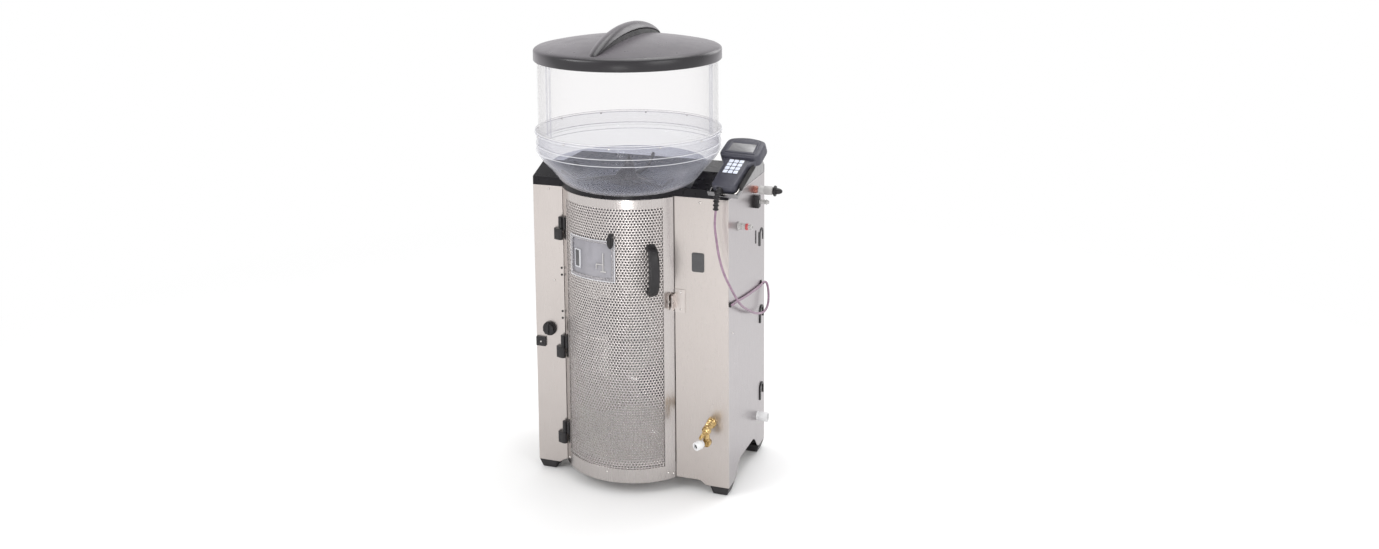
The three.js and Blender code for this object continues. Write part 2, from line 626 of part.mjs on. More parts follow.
// Boiler with domed ends and a stub for the hot water
function boiler() {
  const shell = turned([
    [0, 112], [50, 114], [80, 128], [86, 146], [86, 570], [80, 588], [50, 602], [0, 604],
  ], 24, -190, 240);
  return join(shell, rodZ(-190, 190, 8, 590, 632, 12), rodZ(-220, 270, 8, 590, 620, 12));
}
add('boiler', boiler(), boilerSteel);

add('control_box', cut(
  slab(roundedRect(162, 288, 60, 320, 8), 470, 800, 3),
  block(165, 285, 63, 317, 460, 797),
), greyPlastic);

// Roller pump facing the door
add('pump_head', cut(
  rodY(PUMP.x, PUMP.z, 52, PUMP.y, PUMP.y + 40, 32),
  rodY(PUMP.x, PUMP.z, 44, PUMP.y - 1, PUMP.y + 34, 32),
  block(PUMP.x - 32, PUMP.x + 32, PUMP.y - 1, PUMP.y + 34, PUMP.z - 60, PUMP.z - 30),
), darkGrey);
function pumpRotor() {
  const rollers = [90, 210, 330].map((turn) =>
    rodY(PUMP.x + 26 * Math.cos(rad(turn)), PUMP.z + 26 * Math.sin(rad(turn)), 10, PUMP.y + 4, PUMP.y + 32, 16));
  return join(rodY(PUMP.x, PUMP.z, 22, PUMP.y + 2, PUMP.y + 32, 16), ...rollers);
}
add('pump_rotor', pumpRotor(), white);
add('pump_motor', rodY(PUMP.x, PUMP.z, 38, PUMP.y + 40 + GAP, PUMP.y + 160), motorGrey);

add('water_hose', hose([
  [-190, 190, 633], [-190, 185, 690], [-150, 110, 765], [-118, 40, 770], [-108, 22, 742],
], 6, 4, 14, 2), hoseClear);
add('milk_hose', hose([
  [-60, 58, 572], [-20, 120, 540], [10, 150, 440], [10, 120, 330], [5, 75, 290],
], 7, 5, 14, 2), hoseClear);

// Fittings on the right side, each turned about an axis along x
const SIDE = HALF_WIDTH + GAP;
add('inlet_filter', turnedX([
  [0, SIDE], [11, SIDE], [11, SIDE + 8], [9, SIDE + 9], [9, SIDE + 15], [13, SIDE + 16], [13, SIDE + 58],
  [10, SIDE + 59], [10, SIDE + 62], [16, SIDE + 62.5], [16, SIDE + 67], [9, SIDE + 68], [6, 386], [0, 386],
], 16, 250, 848), greyPlastic);
add('inlet_valve', join(
  block(SIDE, SIDE + 17, 240, 262, 793, 831),
  rodX(251, 815, 6, SIDE + 10, SIDE + 34, 12),
  rodX(251, 815, 8, SIDE + 36, SIDE + 40, 12),
  rodX(251, 815, 5, SIDE + 30, SIDE + 46, 12),
), black);
add('hose_coupling', turnedX([
  [0, SIDE], [13, SIDE], [13, SIDE + 5], [10, SIDE + 6], [10, SIDE + 30], [12, SIDE + 31], [12, SIDE + 40],
  [6, SIDE + 44], [4, SIDE + 44], [4, SIDE + 12], [0, SIDE + 12],
], 16, 94, 778), redPlastic);
add('overflow_pipe', turnedX([
  [0, SIDE], [14, SIDE], [14, SIDE + 34], [11, SIDE + 34], [11, SIDE + 6], [0, SIDE + 6],
], 16, 284, 130), white);

// Flat black hooks that keep hoses at the rear edge, on the same outline as the panel's hook-shaped slot
add('hose_hook_upper', hookPlate(442, SIDE, SIDE + 3), black);
add('hose_hook_lower', hookPlate(196, SIDE, SIDE + 3), black);

// Handheld terminal, built lying flat: x across, y from the cable end to the screen end, z up through the keys
const terminal = new THREE.Group();
terminal.rotation.set(rad(TERMINAL.tilt), 0, rad(TERMINAL.yaw), 'ZXY');
terminal.position.set(TERMINAL.x, TERMINAL.y, TERMINAL.z);
assembly.add(terminal);
const BODY_TOP = 28;
const HEAD_TOP = 38;
const SCREEN = { half: 46, low: 138, high: 182 };
const KEYPAD = { half: 27, low: 54, high: 119 };
const GLAND_X = -8;

function terminalShell() {
  const body = new THREE.Shape();
  body.moveTo(-29, 1);
  body.lineTo(29, 1);
  body.quadraticCurveTo(35, 2, 35, 14);
  body.lineTo(38, 132);
  body.lineTo(-38, 132);
  body.lineTo(-35, 14);
  body.quadraticCurveTo(-35, 2, -29, 1);
  const head = new THREE.Shape();
  head.moveTo(-50, 122);
  head.lineTo(50, 122);
  head.quadraticCurveTo(62, 124, 62, 138);
  head.lineTo(59, 186);
  head.quadraticCurveTo(57, 196, 44, 199);
  head.quadraticCurveTo(0, 206, -44, 199);
  head.quadraticCurveTo(-57, 196, -59, 186);
  head.lineTo(-62, 138);
  head.quadraticCurveTo(-62, 124, -50, 122);
  const bevel = { bevelEnabled: true, bevelSegments: 1, curveSegments: 4 };
  const bodyBox = new THREE.ExtrudeGeometry(body, { ...bevel, depth: BODY_TOP - 9, bevelThickness: 3, bevelSize: 3,
    bevelOffset: -3 }).translate(0, 0, 6);
  const headBox = new THREE.ExtrudeGeometry(head, { ...bevel, depth: HEAD_TOP - 12, bevelThickness: 5, bevelSize: 5,
    bevelOffset: -5 }).translate(0, 0, 7);
  const gland = rodY(GLAND_X, 15, 11, -7, 12, 16);
  return cut(join(bodyBox, headBox, gland),
    block(-SCREEN.half, SCREEN.half, SCREEN.low, SCREEN.high, HEAD_TOP - 2, HEAD_TOP + 5),
    block(-KEYPAD.half, KEYPAD.half, KEYPAD.low, KEYPAD.high, BODY_TOP - 1, BODY_TOP + 5));
}
add('terminal_shell', terminalShell(), shellPlastic, terminal);
add('terminal_screen', block(
  -SCREEN.half + GAP, SCREEN.half - GAP, SCREEN.low + GAP, SCREEN.high - GAP, HEAD_TOP - 2 + GAP, HEAD_TOP - 0.7,
), screenGlass, terminal);

function keypad() {
  const keys = [];
  for (const x of [-16, 0, 16]) {
    for (const y of [64, 79, 94, 109]) keys.push(block(x - 6.5, x + 6.5, y - 6, y + 6, BODY_TOP, BODY_TOP + 1.4));
  }
  const foil = block(-KEYPAD.half + GAP, KEYPAD.half - GAP, KEYPAD.low + GAP, KEYPAD.high - GAP,
    BODY_TOP - 1 + GAP, BODY_TOP + 0.4);
  return join(foil, ...keys);
}
add('terminal_keypad', keypad(), keyFoil, terminal);

// Boot and cable in design coordinates: the boot leaves the terminal's lower end and droops
terminal.updateMatrixWorld(true);
const onTerminal = (x, y, z) => new THREE.Vector3(x, y, z).applyMatrix4(terminal.matrixWorld).toArray();
const bootEnd = [278, -44, 858];
function cableBoot() {
  const sleeve = hose([
    onTerminal(GLAND_X, -8, 15), onTerminal(GLAND_X, -15, 15), [bootEnd[0] + 2, bootEnd[1] - 1, bootEnd[2] + 24],
    bootEnd,
  ], 7.5, 0, 8, 3);
  const ribs = [4, 11, 18].map((up) => {
    const low = bootEnd[2] + up;
    return rodZ(bootEnd[0] + up / 12, bootEnd[1] - up / 20, 9, low, low + 3.5, 12);
  });
  return join(sleeve, ...ribs);
}
add('cable_boot', cableBoot(), black);

// The cable hangs down, swings to the rear edge, turns up and back, and runs forward along the side into the panel
add('terminal_cable', hose([
  [bootEnd[0], bootEnd[1], bootEnd[2] - 1.5], [275, -43, 814], [279, -41, 770], [286, -40, 725], [300, -42, 680],
  [316, -30, 636], [320, 45, 566], [320, 135, 516], [320, 215, 481], [320, 290, 462], [320, 332, 472],
  [318, 344, 505], [312, 346, 532], [306.5, 330, 540], [305, 290, 538.5], [305, 160, 551], [305, 60, 565],
  [306.5, 30, 568.5], [306.5, 20, 569.5], [304, 16.5, 570], [SIDE + 1.4, 16, 570],
], 3.5, 0, 42, 2), cableMauve);

// Cradle: a sloping tray with low sides and a lip, on a bracket that stands on the cover and hooks over its side
const TRAY_HALF = 45.5;
function cradle() {
  const inner = TRAY_HALF - 2;
  const floor = block(-inner, inner, -5, 118, -3.3, -GAP);
  const sides = [block(-TRAY_HALF, -inner, -5, 118, -3.3, 5), block(inner, TRAY_HALF, -5, 118, -3.3, 5)];
  const lip = cut(block(-TRAY_HALF, TRAY_HALF, -7, -5, -3.3, 11), block(-23, 7, -8, -4, -GAP, 12));
  const tray = join(floor, ...sides, lip).applyMatrix4(terminal.matrixWorld);
  // Height of the middle of the tray's floor above a place in plan
  const upward = new THREE.Vector3(0, 0, 1).transformDirection(terminal.matrixWorld);
  const inFloor = new THREE.Vector3(...onTerminal(0, 0, -2.3));
  const under = (x, y) => inFloor.z - (upward.x * (x - inFloor.x) + upward.y * (y - inFloor.y)) / upward.z;
  const wallX = SIDE + 1;
  const wall = new THREE.Shape();
  wall.moveTo(6, 880);
  wall.lineTo(345, 880);
  wall.lineTo(345, 908);
  wall.quadraticCurveTo(290, 950, 165, under(wallX, 82) + 22);
  wall.lineTo(82, under(wallX, 82));
  wall.lineTo(6, under(wallX, 6));
  wall.closePath();
  const side = cut(prismX(wall, SIDE, SIDE + 2, 8), block(290, 310, 240, 300, 925, 929));
  const foot = block(258, SIDE + 2, 130, 345, COVER_FRONT_TOP + GAP, COVER_FRONT_TOP + GAP + 2);
  const back = prismX(outline([
    [130, COVER_FRONT_TOP + 1], [132, COVER_FRONT_TOP + 1], [89, under(280, 86)], [84, under(280, 82)],
  ]), 262, SIDE + 2);
  return join(tray, side, foot, back);
}
add('terminal_cradle', cradle(), steel);

// Origin at the bottom centre of the bounding box
const bounds = new THREE.Box3().setFromObject(assembly);
const middle = bounds.getCenter(new THREE.Vector3());
assembly.position.set(-middle.x, -middle.y, -bounds.min.z);
const group = new THREE.Group();
group.add(assembly);

export default group;
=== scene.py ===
# Looks for the automatic calf milk feeder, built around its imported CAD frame. Blender 4.5.
# Shapes are given in the design's own millimetres: x = 0 at the cabinet's centre, y = 0 on its flat front,
# z = 0 on the floor. piece() turns them into the row frame, in metres.
import math

import bmesh
import bpy
from mathutils import Matrix, Vector


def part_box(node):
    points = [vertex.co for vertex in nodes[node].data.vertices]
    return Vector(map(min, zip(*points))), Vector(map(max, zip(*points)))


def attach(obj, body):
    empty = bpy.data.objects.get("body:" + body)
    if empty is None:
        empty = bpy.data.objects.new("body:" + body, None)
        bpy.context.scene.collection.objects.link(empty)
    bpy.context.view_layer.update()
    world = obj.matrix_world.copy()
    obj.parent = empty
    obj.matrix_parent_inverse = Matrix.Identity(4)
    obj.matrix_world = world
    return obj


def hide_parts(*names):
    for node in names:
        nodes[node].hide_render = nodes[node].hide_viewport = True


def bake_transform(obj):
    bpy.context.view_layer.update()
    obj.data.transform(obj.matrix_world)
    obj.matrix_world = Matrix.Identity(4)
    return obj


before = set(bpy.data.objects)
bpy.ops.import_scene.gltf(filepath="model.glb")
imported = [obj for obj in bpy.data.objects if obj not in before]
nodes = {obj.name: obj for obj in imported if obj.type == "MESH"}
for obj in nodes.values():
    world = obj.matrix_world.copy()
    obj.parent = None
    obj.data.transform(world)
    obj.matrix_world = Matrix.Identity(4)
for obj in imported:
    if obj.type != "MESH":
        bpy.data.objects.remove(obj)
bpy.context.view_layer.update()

MM = 0.001
DEPTH = 359
rear_low, rear_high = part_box("rear_panel")
ORIGIN = Vector(((rear_low.x + rear_high.x) / 2, rear_high.y - DEPTH * MM, 0))
TO_ROW = Matrix.Translation(ORIGIN) @ Matrix.Scale(MM, 4)

# Driving dimensions, as in the CAD
HALF_WIDTH = 300
DOOR_X = -33
DOOR_Y = 119
DOOR_R = 209
DOOR_SHEET = 2
DOOR_HALF_ANGLE = 55
DOOR_BOTTOM = 36
DOOR_TOP = 874
BORDER = 45.5
MESH_R = 206.7
MESH_SHEET = 1.5
WINDOW_FROM = -36
WINDOW_TO = 6
WINDOW_LOW = 639
WINDOW_HIGH = 750
HINGE_X = -209
HINGE_Y = -9
HINGE_HALF = 35
HINGE_HEIGHTS = {"upper": 754, "middle": 394, "lower": 128}
HOPPER_Y = 12
BOWL_BASE = 903
FLANGE_Z = 1060
WALL_R = 256
WALL_FOOT = 1026
WALL_TOP = 1284
LID_R = 266
LID_RIM = 1262
LID_APEX = 1325
GRIP_APEX = 1364
SIDE = HALF_WIDTH + 0.3
TERMINAL_MATRIX = (
    Matrix.Translation((293.7, -22.4, 898))
    @ Matrix.Rotation(math.radians(-8.6), 4, "Z")
    @ Matrix.Rotation(math.radians(28), 4, "X")
)

# Local z turned towards the front (-y), towards the right side (+x), and with an outline drawn as (y, z)
FACING_FRONT = Matrix.Rotation(math.pi / 2, 4, "X")
FACING_RIGHT = Matrix(((0, 0, 1, 0), (1, 0, 0, 0), (0, 1, 0, 0), (0, 0, 0, 1)))


# ---- materials
class Finish:
    """A node-based material with one Principled shader, and helpers that add textures to it."""

    def __init__(self, name, color, roughness, metallic=0.0):
        self.material = bpy.data.materials.new(name)
        self.material.use_nodes = True
        self.tree = self.material.node_tree
        self.tree.nodes.clear()
        self.output = self.add("OutputMaterial")
        self.shader = self.add("BsdfPrincipled")
        self.link(self.shader.outputs[0], self.output.inputs["Surface"])
        self.coords = self.add("TexCoord")
        self.set("Base Color", (*color, 1))
        self.set("Roughness", roughness)
        self.set("Metallic", metallic)
        self.heights = []

    def add(self, kind, **values):
        """Makes a shader node. Its inputs are given by name, with an underscore for a space."""
        node = self.tree.nodes.new("ShaderNode" + kind)
        for socket, value in values.items():
            node.inputs[socket.replace("_", " ")].default_value = value
        return node

    def link(self, source, target):
        self.tree.links.new(source, target)

    def axis(self, name):
        """One of the object's own coordinates, in metres."""
        split = self.add("SeparateXYZ")
        self.link(self.coords.outputs["Object"], split.inputs[0])
        return split.outputs[name]

    def mix_shaders(self, share, first, second):
        """Lets the second shader take a share of the surface from the first."""
        mix = self.add("MixShader")
        self.link(share, mix.inputs["Fac"])
        self.link(first.outputs[0], mix.inputs[1])
        self.link(second.outputs[0], mix.inputs[2])
        self.link(mix.outputs[0], self.output.inputs["Surface"])

    def set(self, socket, value):
        self.shader.inputs[socket].default_value = value

    def place(self, stretch):
        mapping = self.add("Mapping", Scale=stretch)
        self.link(self.coords.outputs["Object"], mapping.inputs["Vector"])
        return mapping.outputs[0]

    def noise(self, scale, detail=2.0, stretch=(1, 1, 1), roughness=0.5):
        node = self.add("TexNoise", Scale=scale, Detail=detail, Roughness=roughness)
        self.link(self.place(stretch), node.inputs["Vector"])
        return node.outputs["Fac"]

    def cells(self, scale, stretch=(1, 1, 1)):
        node = self.add("TexVoronoi", Scale=scale)
        self.link(self.place(stretch), node.inputs["Vector"])
        return node.outputs["Distance"]

    def spread(self, value, low, high, start=0.3, end=0.7):
        node = self.add("MapRange", From_Min=start, From_Max=end, To_Min=low, To_Max=high)
        self.link(value, node.inputs["Value"])
        return node.outputs[0]

    def blend(self, factor, first, second):
        node = self.add("Mix")
        node.data_type = "RGBA"
        node.inputs["A"].default_value = (*first, 1)
        node.inputs["B"].default_value = (*second, 1)
        self.link(factor, node.inputs["Factor"])
        return node.outputs["Result"]

    def color(self, value, first, second, start=0.3, end=0.7):
        share = self.spread(value, 0, 1, start, end)
        self.link(self.blend(share, first, second), self.shader.inputs["Base Color"])

    def paint_floor_shade(self, darkest, low=0.2, high=0.75):
        """Paints shade into the color, darkening it gently near the floor; object coordinates are metres
        above it.
        """
        amount = self.spread(self.axis("Z"), darkest, 1.0, low, high)
        grey = self.add("CombineColor")
        for channel in ("Red", "Green", "Blue"):
            self.link(amount, grey.inputs[channel])
        product = self.add("Mix")
        product.data_type = "RGBA"
        product.blend_type = "MULTIPLY"
        product.inputs["Factor"].default_value = 1.0
        self.link(self.shader.inputs["Base Color"].links[0].from_socket, product.inputs["A"])
        self.link(grey.outputs[0], product.inputs["B"])
        self.link(product.outputs["Result"], self.shader.inputs["Base Color"])

    def roughness(self, value, low, high, start=0.3, end=0.7):
        self.link(self.spread(value, low, high, start, end), self.shader.inputs["Roughness"])

    def bump(self, value, strength, distance):
        node = self.add("Bump", Strength=strength, Distance=distance)
        self.link(value, node.inputs["Height"])
        if self.heights:
            self.link(self.heights[-1], node.inputs["Normal"])
        self.heights.append(node.outputs[0])
        self.link(node.outputs[0], self.shader.inputs["Normal"])


def brushed_steel(name, light, dark, roughness, grain=(60, 60, 1.2), painted_floor_shade=0.78):
    """Stainless sheet: fine brushing along z, broad soft smudges, and painted shade darkening it near the
    floor.
    """
    f = Finish(name, light, roughness, 1.0)
    streaks = f.noise(14, 3, grain, 0.6)
    smudges = f.noise(5, 3)
    f.color(smudges, dark, light, 0.25, 0.75)
    # painted shade: the color gets darker towards the floor
    f.paint_floor_shade(painted_floor_shade)
    f.roughness(streaks, roughness - 0.07, roughness + 0.09)
    f.bump(streaks, 0.05, 0.0003)
    f.bump(f.noise(3.2, 1), 0.08, 0.004)
    return f.material


def steel_with_painted_side_shade():
    """The right panel: warm like the others on the front, with painted shade making it cooler and darker
    along the side.
    """
    f = Finish("stainless_painted_side_shade", (0.53, 0.50, 0.51), 0.30, 1.0)
    behind_front = f.spread(f.axis("Y"), 0, 1, ORIGIN.y + 3 * MM, ORIGIN.y + 6 * MM)
    warm, painted_side_shade = (0.575, 0.527, 0.503), (0.485, 0.456, 0.466)
    # painted shade: the side gets a cooler, darker color than the front
    f.link(f.blend(behind_front, warm, painted_side_shade), f.shader.inputs["Base Color"])
    f.paint_floor_shade(0.84)
    streaks = f.noise(14, 3, (60, 60, 1.2), 0.6)
    f.roughness(streaks, 0.25, 0.38)
    f.bump(streaks, 0.05, 0.0003)
    f.bump(f.noise(3.2, 1), 0.08, 0.004)
    return f.material


def polished_steel():
    """Drawn and buffed steel, blotchy and brighter than the sheets."""
    f = Finish("polished_stainless", (0.62, 0.60, 0.58), 0.18, 1.0)
    f.color(f.noise(9, 3), (0.56, 0.54, 0.52), (0.68, 0.66, 0.64))
    f.roughness(f.noise(40, 3, (1, 1, 0.2)), 0.12, 0.28)
    f.bump(f.noise(26, 2, (1, 1, 6)), 0.06, 0.0006)
    return f.material


def moulded_plastic(name, color, paler, roughness, grain=900, strength=0.16, shine=0.5):
    """Injection-moulded plastic: a fine etched grain, a faint flow mottle, and dust on it."""
    f = Finish(name, color, roughness)
    f.color(f.noise(22, 4, roughness=0.65), color, paler, 0.35, 0.75)
    f.roughness(f.noise(60, 3), roughness - 0.06, roughness + 0.10)
    f.bump(f.cells(grain), strength, 0.0002)
    f.bump(f.noise(45, 2), 0.05, 0.0008)
    f.set("Specular IOR Level", shine)
    return f.material


def satin_lid():
    """Blow-moulded lid: near black face on, with a painted pale mauve reflection where it curves away."""
    f = Finish("satin_lid", (0.020, 0.017, 0.021), 0.3)
    facing = f.add("LayerWeight", Blend=0.5)
    painted_reflection = f.add("Math")
    painted_reflection.operation = "MULTIPLY"
    f.link(facing.outputs["Facing"], painted_reflection.inputs[0])
    f.link(f.spread(f.noise(7, 3), 0.85, 1.0), painted_reflection.inputs[1])
    # painted reflection: the color gets lighter towards grazing angles
    f.color(painted_reflection.outputs[0], (0.014, 0.012, 0.015), (0.150, 0.135, 0.152), 0.35, 0.95)
    f.roughness(f.noise(30, 3), 0.27, 0.36)
    f.bump(f.noise(60, 1), 0.05, 0.0004)
    f.bump(f.noise(5, 1), 0.05, 0.002)
    return f.material


def painted_shadow_finish():
    """Matt black with a coarse skin, for painted shadow."""
    f = Finish("painted_shadow_black", (0.014, 0.013, 0.014), 0.75)
    f.color(f.noise(35, 5), (0.011, 0.010, 0.011), (0.028, 0.027, 0.026), 0.4, 0.8)
    f.roughness(f.noise(80, 3), 0.62, 0.88)
    f.bump(f.noise(320, 3), 0.3, 0.0005)
    return f.material


def clear_plastic(name, tint, edge, base_share, edge_share):
    """Thin clear sheet: mostly see-through face on, hazier and more of a mirror where it curves away."""
    f = Finish(name, edge, 0.08)
    f.roughness(f.noise(18, 3), 0.05, 0.14)
    f.bump(f.noise(6, 2, (1, 1, 0.5)), 0.05, 0.004)
    through = f.add("BsdfTransparent", Color=(*tint, 1))
    facing = f.add("LayerWeight", Blend=0.5)
    power = f.add("Math")
    power.operation = "POWER"
    power.inputs[1].default_value = 3.0
    f.link(facing.outputs["Facing"], power.inputs[0])
    share = f.spread(power.outputs[0], base_share, edge_share, 0, 1)
    f.mix_shaders(share, through, f.shader)
    return f.material


def brass():
    """Cast brass with a sandy skin and darker patches."""
    f = Finish("cast_brass", (0.52, 0.36, 0.15), 0.30, 1.0)
    f.color(f.noise(110, 4), (0.30, 0.19, 0.07), (0.66, 0.49, 0.24), 0.35, 0.65)
    f.roughness(f.noise(120, 3), 0.20, 0.44)
    f.bump(f.noise(260, 3), 0.25, 0.0005)
    return f.material


def cable_pvc():
    """The mauve jacket of the terminal's cable."""
    f = Finish("mauve_pvc", (0.24, 0.15, 0.21), 0.38)
    f.color(f.noise(60, 3), (0.205, 0.125, 0.18), (0.31, 0.205, 0.275))
    f.roughness(f.noise(90, 2), 0.30, 0.48)
    f.bump(f.noise(240, 2), 0.15, 0.0004)
    return f.material


def lcd_glass():
    """Grey reflective display behind a glossy window."""
    f = Finish("display_glass", (0.22, 0.22, 0.225), 0.16)
    f.color(f.noise(500, 1), (0.18, 0.18, 0.185), (0.26, 0.26, 0.265))
    f.roughness(f.noise(30, 2), 0.10, 0.22)
    f.set("Coat Weight", 0.6)
    f.set("Coat Roughness", 0.05)
    return f.material


def brass_union():
    """A reddish union nut."""
    f = Finish("red_brass", (0.62, 0.24, 0.17), 0.38, 0.55)
    f.color(f.noise(90, 3), (0.36, 0.13, 0.105), (0.50, 0.25, 0.20))
    f.roughness(f.noise(110, 3), 0.3, 0.5)
    f.bump(f.noise(260, 3), 0.15, 0.0004)
    return f.material


def studio_floor():
    """Pale floor that brightens with distance until it meets the white backdrop."""
    f = Finish("studio_floor", (0.86, 0.86, 0.86), 0.6)
    f.color(f.noise(2.5, 2), (0.85, 0.85, 0.85), (0.87, 0.87, 0.87))
    f.roughness(f.noise(8, 2), 0.5, 0.7)
    length = f.add("VectorMath")
    length.operation = "LENGTH"
    f.link(f.coords.outputs["Object"], length.inputs[0])
    distance = f.spread(length.outputs["Value"], 0, 1, 1.0, 3.0)
    f.mix_shaders(distance, f.shader, f.add("Emission"))
    return f.material


STEEL = brushed_steel("brushed_stainless", (0.655, 0.603, 0.577), (0.600, 0.552, 0.528), 0.32)
DOOR_STEEL = brushed_steel("rolled_stainless", (0.600, 0.560, 0.545), (0.545, 0.508, 0.494), 0.24)
PAINTED_SIDE_SHADE_STEEL = steel_with_painted_side_shade()
# painted shade: dark stainless for the terminal's tray and for the partition seen through the perforations
PAINTED_SHADE_STEEL = brushed_steel(
    "painted_shade_stainless", (0.370, 0.365, 0.372), (0.310, 0.305, 0.312), 0.28, painted_floor_shade=1.0)
MESH_STEEL = brushed_steel(
    "perforated_stainless", (0.585, 0.545, 0.532), (0.530, 0.494, 0.482), 0.24, (40, 40, 2.5), 0.82)
POLISHED = polished_steel()
BLACK = moulded_plastic("moulded_black", (0.011, 0.010, 0.011), (0.022, 0.020, 0.022), 0.42, shine=0.38)
COVER = moulded_plastic("cover_black", (0.007, 0.006, 0.008), (0.013, 0.012, 0.014), 0.30, 500, 0.1, 0.22)
DARK_GREY = moulded_plastic("moulded_dark_grey", (0.050, 0.048, 0.056), (0.075, 0.072, 0.080), 0.36)
TERMINAL_BLUE = moulded_plastic(
    "terminal_grey_blue", (0.046, 0.046, 0.062), (0.066, 0.066, 0.084), 0.38, 700)
LID = satin_lid()
PAINTED_SHADOW_BLACK = painted_shadow_finish()
CLEAR = clear_plastic("clear_sheet", (0.990, 0.987, 0.988), (0.66, 0.655, 0.66), 0.012, 0.50)
CLEAR_BOWL = clear_plastic("clear_moulding", (0.970, 0.970, 0.980), (0.48, 0.48, 0.52), 0.07, 0.62)
# painted shade for the inside of the hopper bowl
CLEAR_PAINTED_SHADE = clear_plastic("clear_painted_shade", (0.80, 0.81, 0.85), (0.26, 0.27, 0.32), 0.06, 0.35)
CLEAR_RIM = clear_plastic("clear_rim", (0.93, 0.93, 0.95), (0.88, 0.88, 0.90), 0.45, 0.85)
WINDOW_RIM = clear_plastic("window_rim", (0.92, 0.92, 0.94), (0.50, 0.49, 0.50), 0.30, 0.55)
WINDOW_SHEET = clear_plastic("window_sheet", (0.90, 0.90, 0.93), (0.48, 0.47, 0.50), 0.42, 0.60)
BRASS = brass()
WHITE = moulded_plastic("white_plastic", (0.70, 0.70, 0.71), (0.60, 0.60, 0.60), 0.40)
GREY = moulded_plastic("grey_plastic", (0.40, 0.39, 0.385), (0.50, 0.49, 0.48), 0.42)
RED = moulded_plastic("red_plastic", (0.46, 0.055, 0.060), (0.54, 0.11, 0.11), 0.36)
MOTOR = moulded_plastic("motor_paint", (0.12, 0.125, 0.13), (0.17, 0.175, 0.18), 0.45, 500, 0.3)
HOSE = moulded_plastic("hose_plastic", (0.60, 0.57, 0.50), (0.68, 0.66, 0.60), 0.30, 200, 0.05)
KEYS = moulded_plastic("key_foil", (0.74, 0.78, 0.88), (0.66, 0.70, 0.82), 0.38, 1200, 0.08)
GLASS = lcd_glass()
CABLE = cable_pvc()
DARK_GLASS = moulded_plastic("smoked_window", (0.055, 0.055, 0.058), (0.075, 0.075, 0.078), 0.14, 300, 0.02)
RED_BRASS = brass_union()
FLOOR = studio_floor()

SLOT_FINISH = {
    "steel": STEEL,
    "perforated_steel": MESH_STEEL,
    "polished_steel": POLISHED,
    "black_plastic": BLACK,
    "dark_grey_plastic": DARK_GREY,
    "lid_plastic": LID,
    "clear_plastic": CLEAR,
    "brass": BRASS,
    "white_plastic": WHITE,
    "grey_plastic": GREY,
    "red_plastic": RED,
    "motor_paint": MOTOR,
    "hose_plastic": HOSE,
    "terminal_plastic": TERMINAL_BLUE,
    "screen_glass": GLASS,
    "key_foil": KEYS,
    "cable_mauve": CABLE,
}

# The CAD slot that a new piece of each finish belongs to
USUAL_SLOT = {finish.name: slot for slot, finish in SLOT_FINISH.items()}
USUAL_SLOT[DOOR_STEEL.name] = "steel"
USUAL_SLOT[WINDOW_RIM.name] = "steel"
for finish in (CLEAR_BOWL, CLEAR_PAINTED_SHADE, CLEAR_RIM, WINDOW_SHEET):
    USUAL_SLOT[finish.name] = "clear_plastic"
USUAL_SLOT[PAINTED_SHADOW_BLACK.name] = "black_plastic"
USUAL_SLOT[DARK_GLASS.name] = "dark_grey_plastic"
USUAL_SLOT[RED_BRASS.name] = "grey_plastic"


# ---- shapes
# A shape is (points, faces) in design millimetres, or in a local frame that moved() places.
def moved(shape, matrix):
    points, faces = shape
    return [matrix @ Vector(p) for p in points], faces


def from_columns(*columns):
    """A placing matrix from its three axes and its origin."""
    return Matrix([[c[k] for c in columns] for k in range(3)] + [[0, 0, 0, 1]])


def shifted(shape, x=0, y=0, z=0):
    return moved(shape, Matrix.Translation((x, y, z)))


def merged(*shapes):
    points, faces = [], []
    for more_points, more_faces in shapes:
        start = len(points)
        points += list(more_points)
        faces += [[start + i for i in face] for face in more_faces]
    return points, faces


def loft(loops, capped=True):
    """Joins loops of equally many points, one after another."""
    points = [p for loop in loops for p in loop]
    count = len(loops[0])
    faces = []
    for k in range(len(loops) - 1):
        for i in range(count):
            j = (i + 1) % count
            low = k * count
            faces.append([low + i, low + j, low + count + j, low + count + i])
    if capped:
        faces.append(list(range(count))[::-1])
        faces.append([(len(loops) - 1) * count + i for i in range(count)])
    return points, faces


def prism(outline, low, high):
    return loft([[(x, y, z) for x, y in outline] for z in (low, high)])


def lathe(profile, sides=64):
    """An (r, z) profile turned about z. It starts and ends on the axis, or else closes on itself."""
    points, rings = [], []
    for r, z in profile:
        if r < 1e-6:
            rings.append([len(points)] * sides)
            points.append((0, 0, z))
        else:
            rings.append([len(points) + i for i in range(sides)])
            points += [
                (r * math.cos(2 * math.pi * i / sides), r * math.sin(2 * math.pi * i / sides), z)
                for i in range(sides)
            ]
    on_axis = profile[0][0] < 1e-6
    pairs = list(zip(rings, rings[1:]))
    if not on_axis:
        pairs.append((rings[-1], rings[0]))
    faces = []
    for a, b in pairs:
        for i in range(sides):
            j = (i + 1) % sides
            face = list(dict.fromkeys([a[i], a[j], b[j], b[i]]))
            if len(face) > 2:
                faces.append(face)
    return points, faces


def rounded(corners, radius, steps=6):
    """An outline whose corners are rounded, each by a short curve."""
    points = []
    count = len(corners)
    radii = radius if isinstance(radius, (list, tuple)) else [radius] * count
    for i, corner in enumerate(corners):
        here = Vector(corner)
        before = Vector(corners[i - 1]) - here
        after = Vector(corners[(i + 1) % count]) - here
        start = here + before.normalized() * min(radii[i], before.length * 0.49)
        end = here + after.normalized() * min(radii[i], after.length * 0.49)
        for k in range(steps + 1):
            t = k / steps
            points.append(tuple(start * (1 - t) ** 2 + here * 2 * t * (1 - t) + end * t**2))
    return points


def rectangle(x0, x1, y0, y1, radius, steps=6):
    return rounded([(x0, y0), (x1, y0), (x1, y1), (x0, y1)], radius, steps)


def ellipse(width, height, steps=48, x=0, y=0):
    turns = [2 * math.pi * i / steps for i in range(steps)]
    return [(x + width / 2 * math.cos(t), y + height / 2 * math.sin(t)) for t in turns]


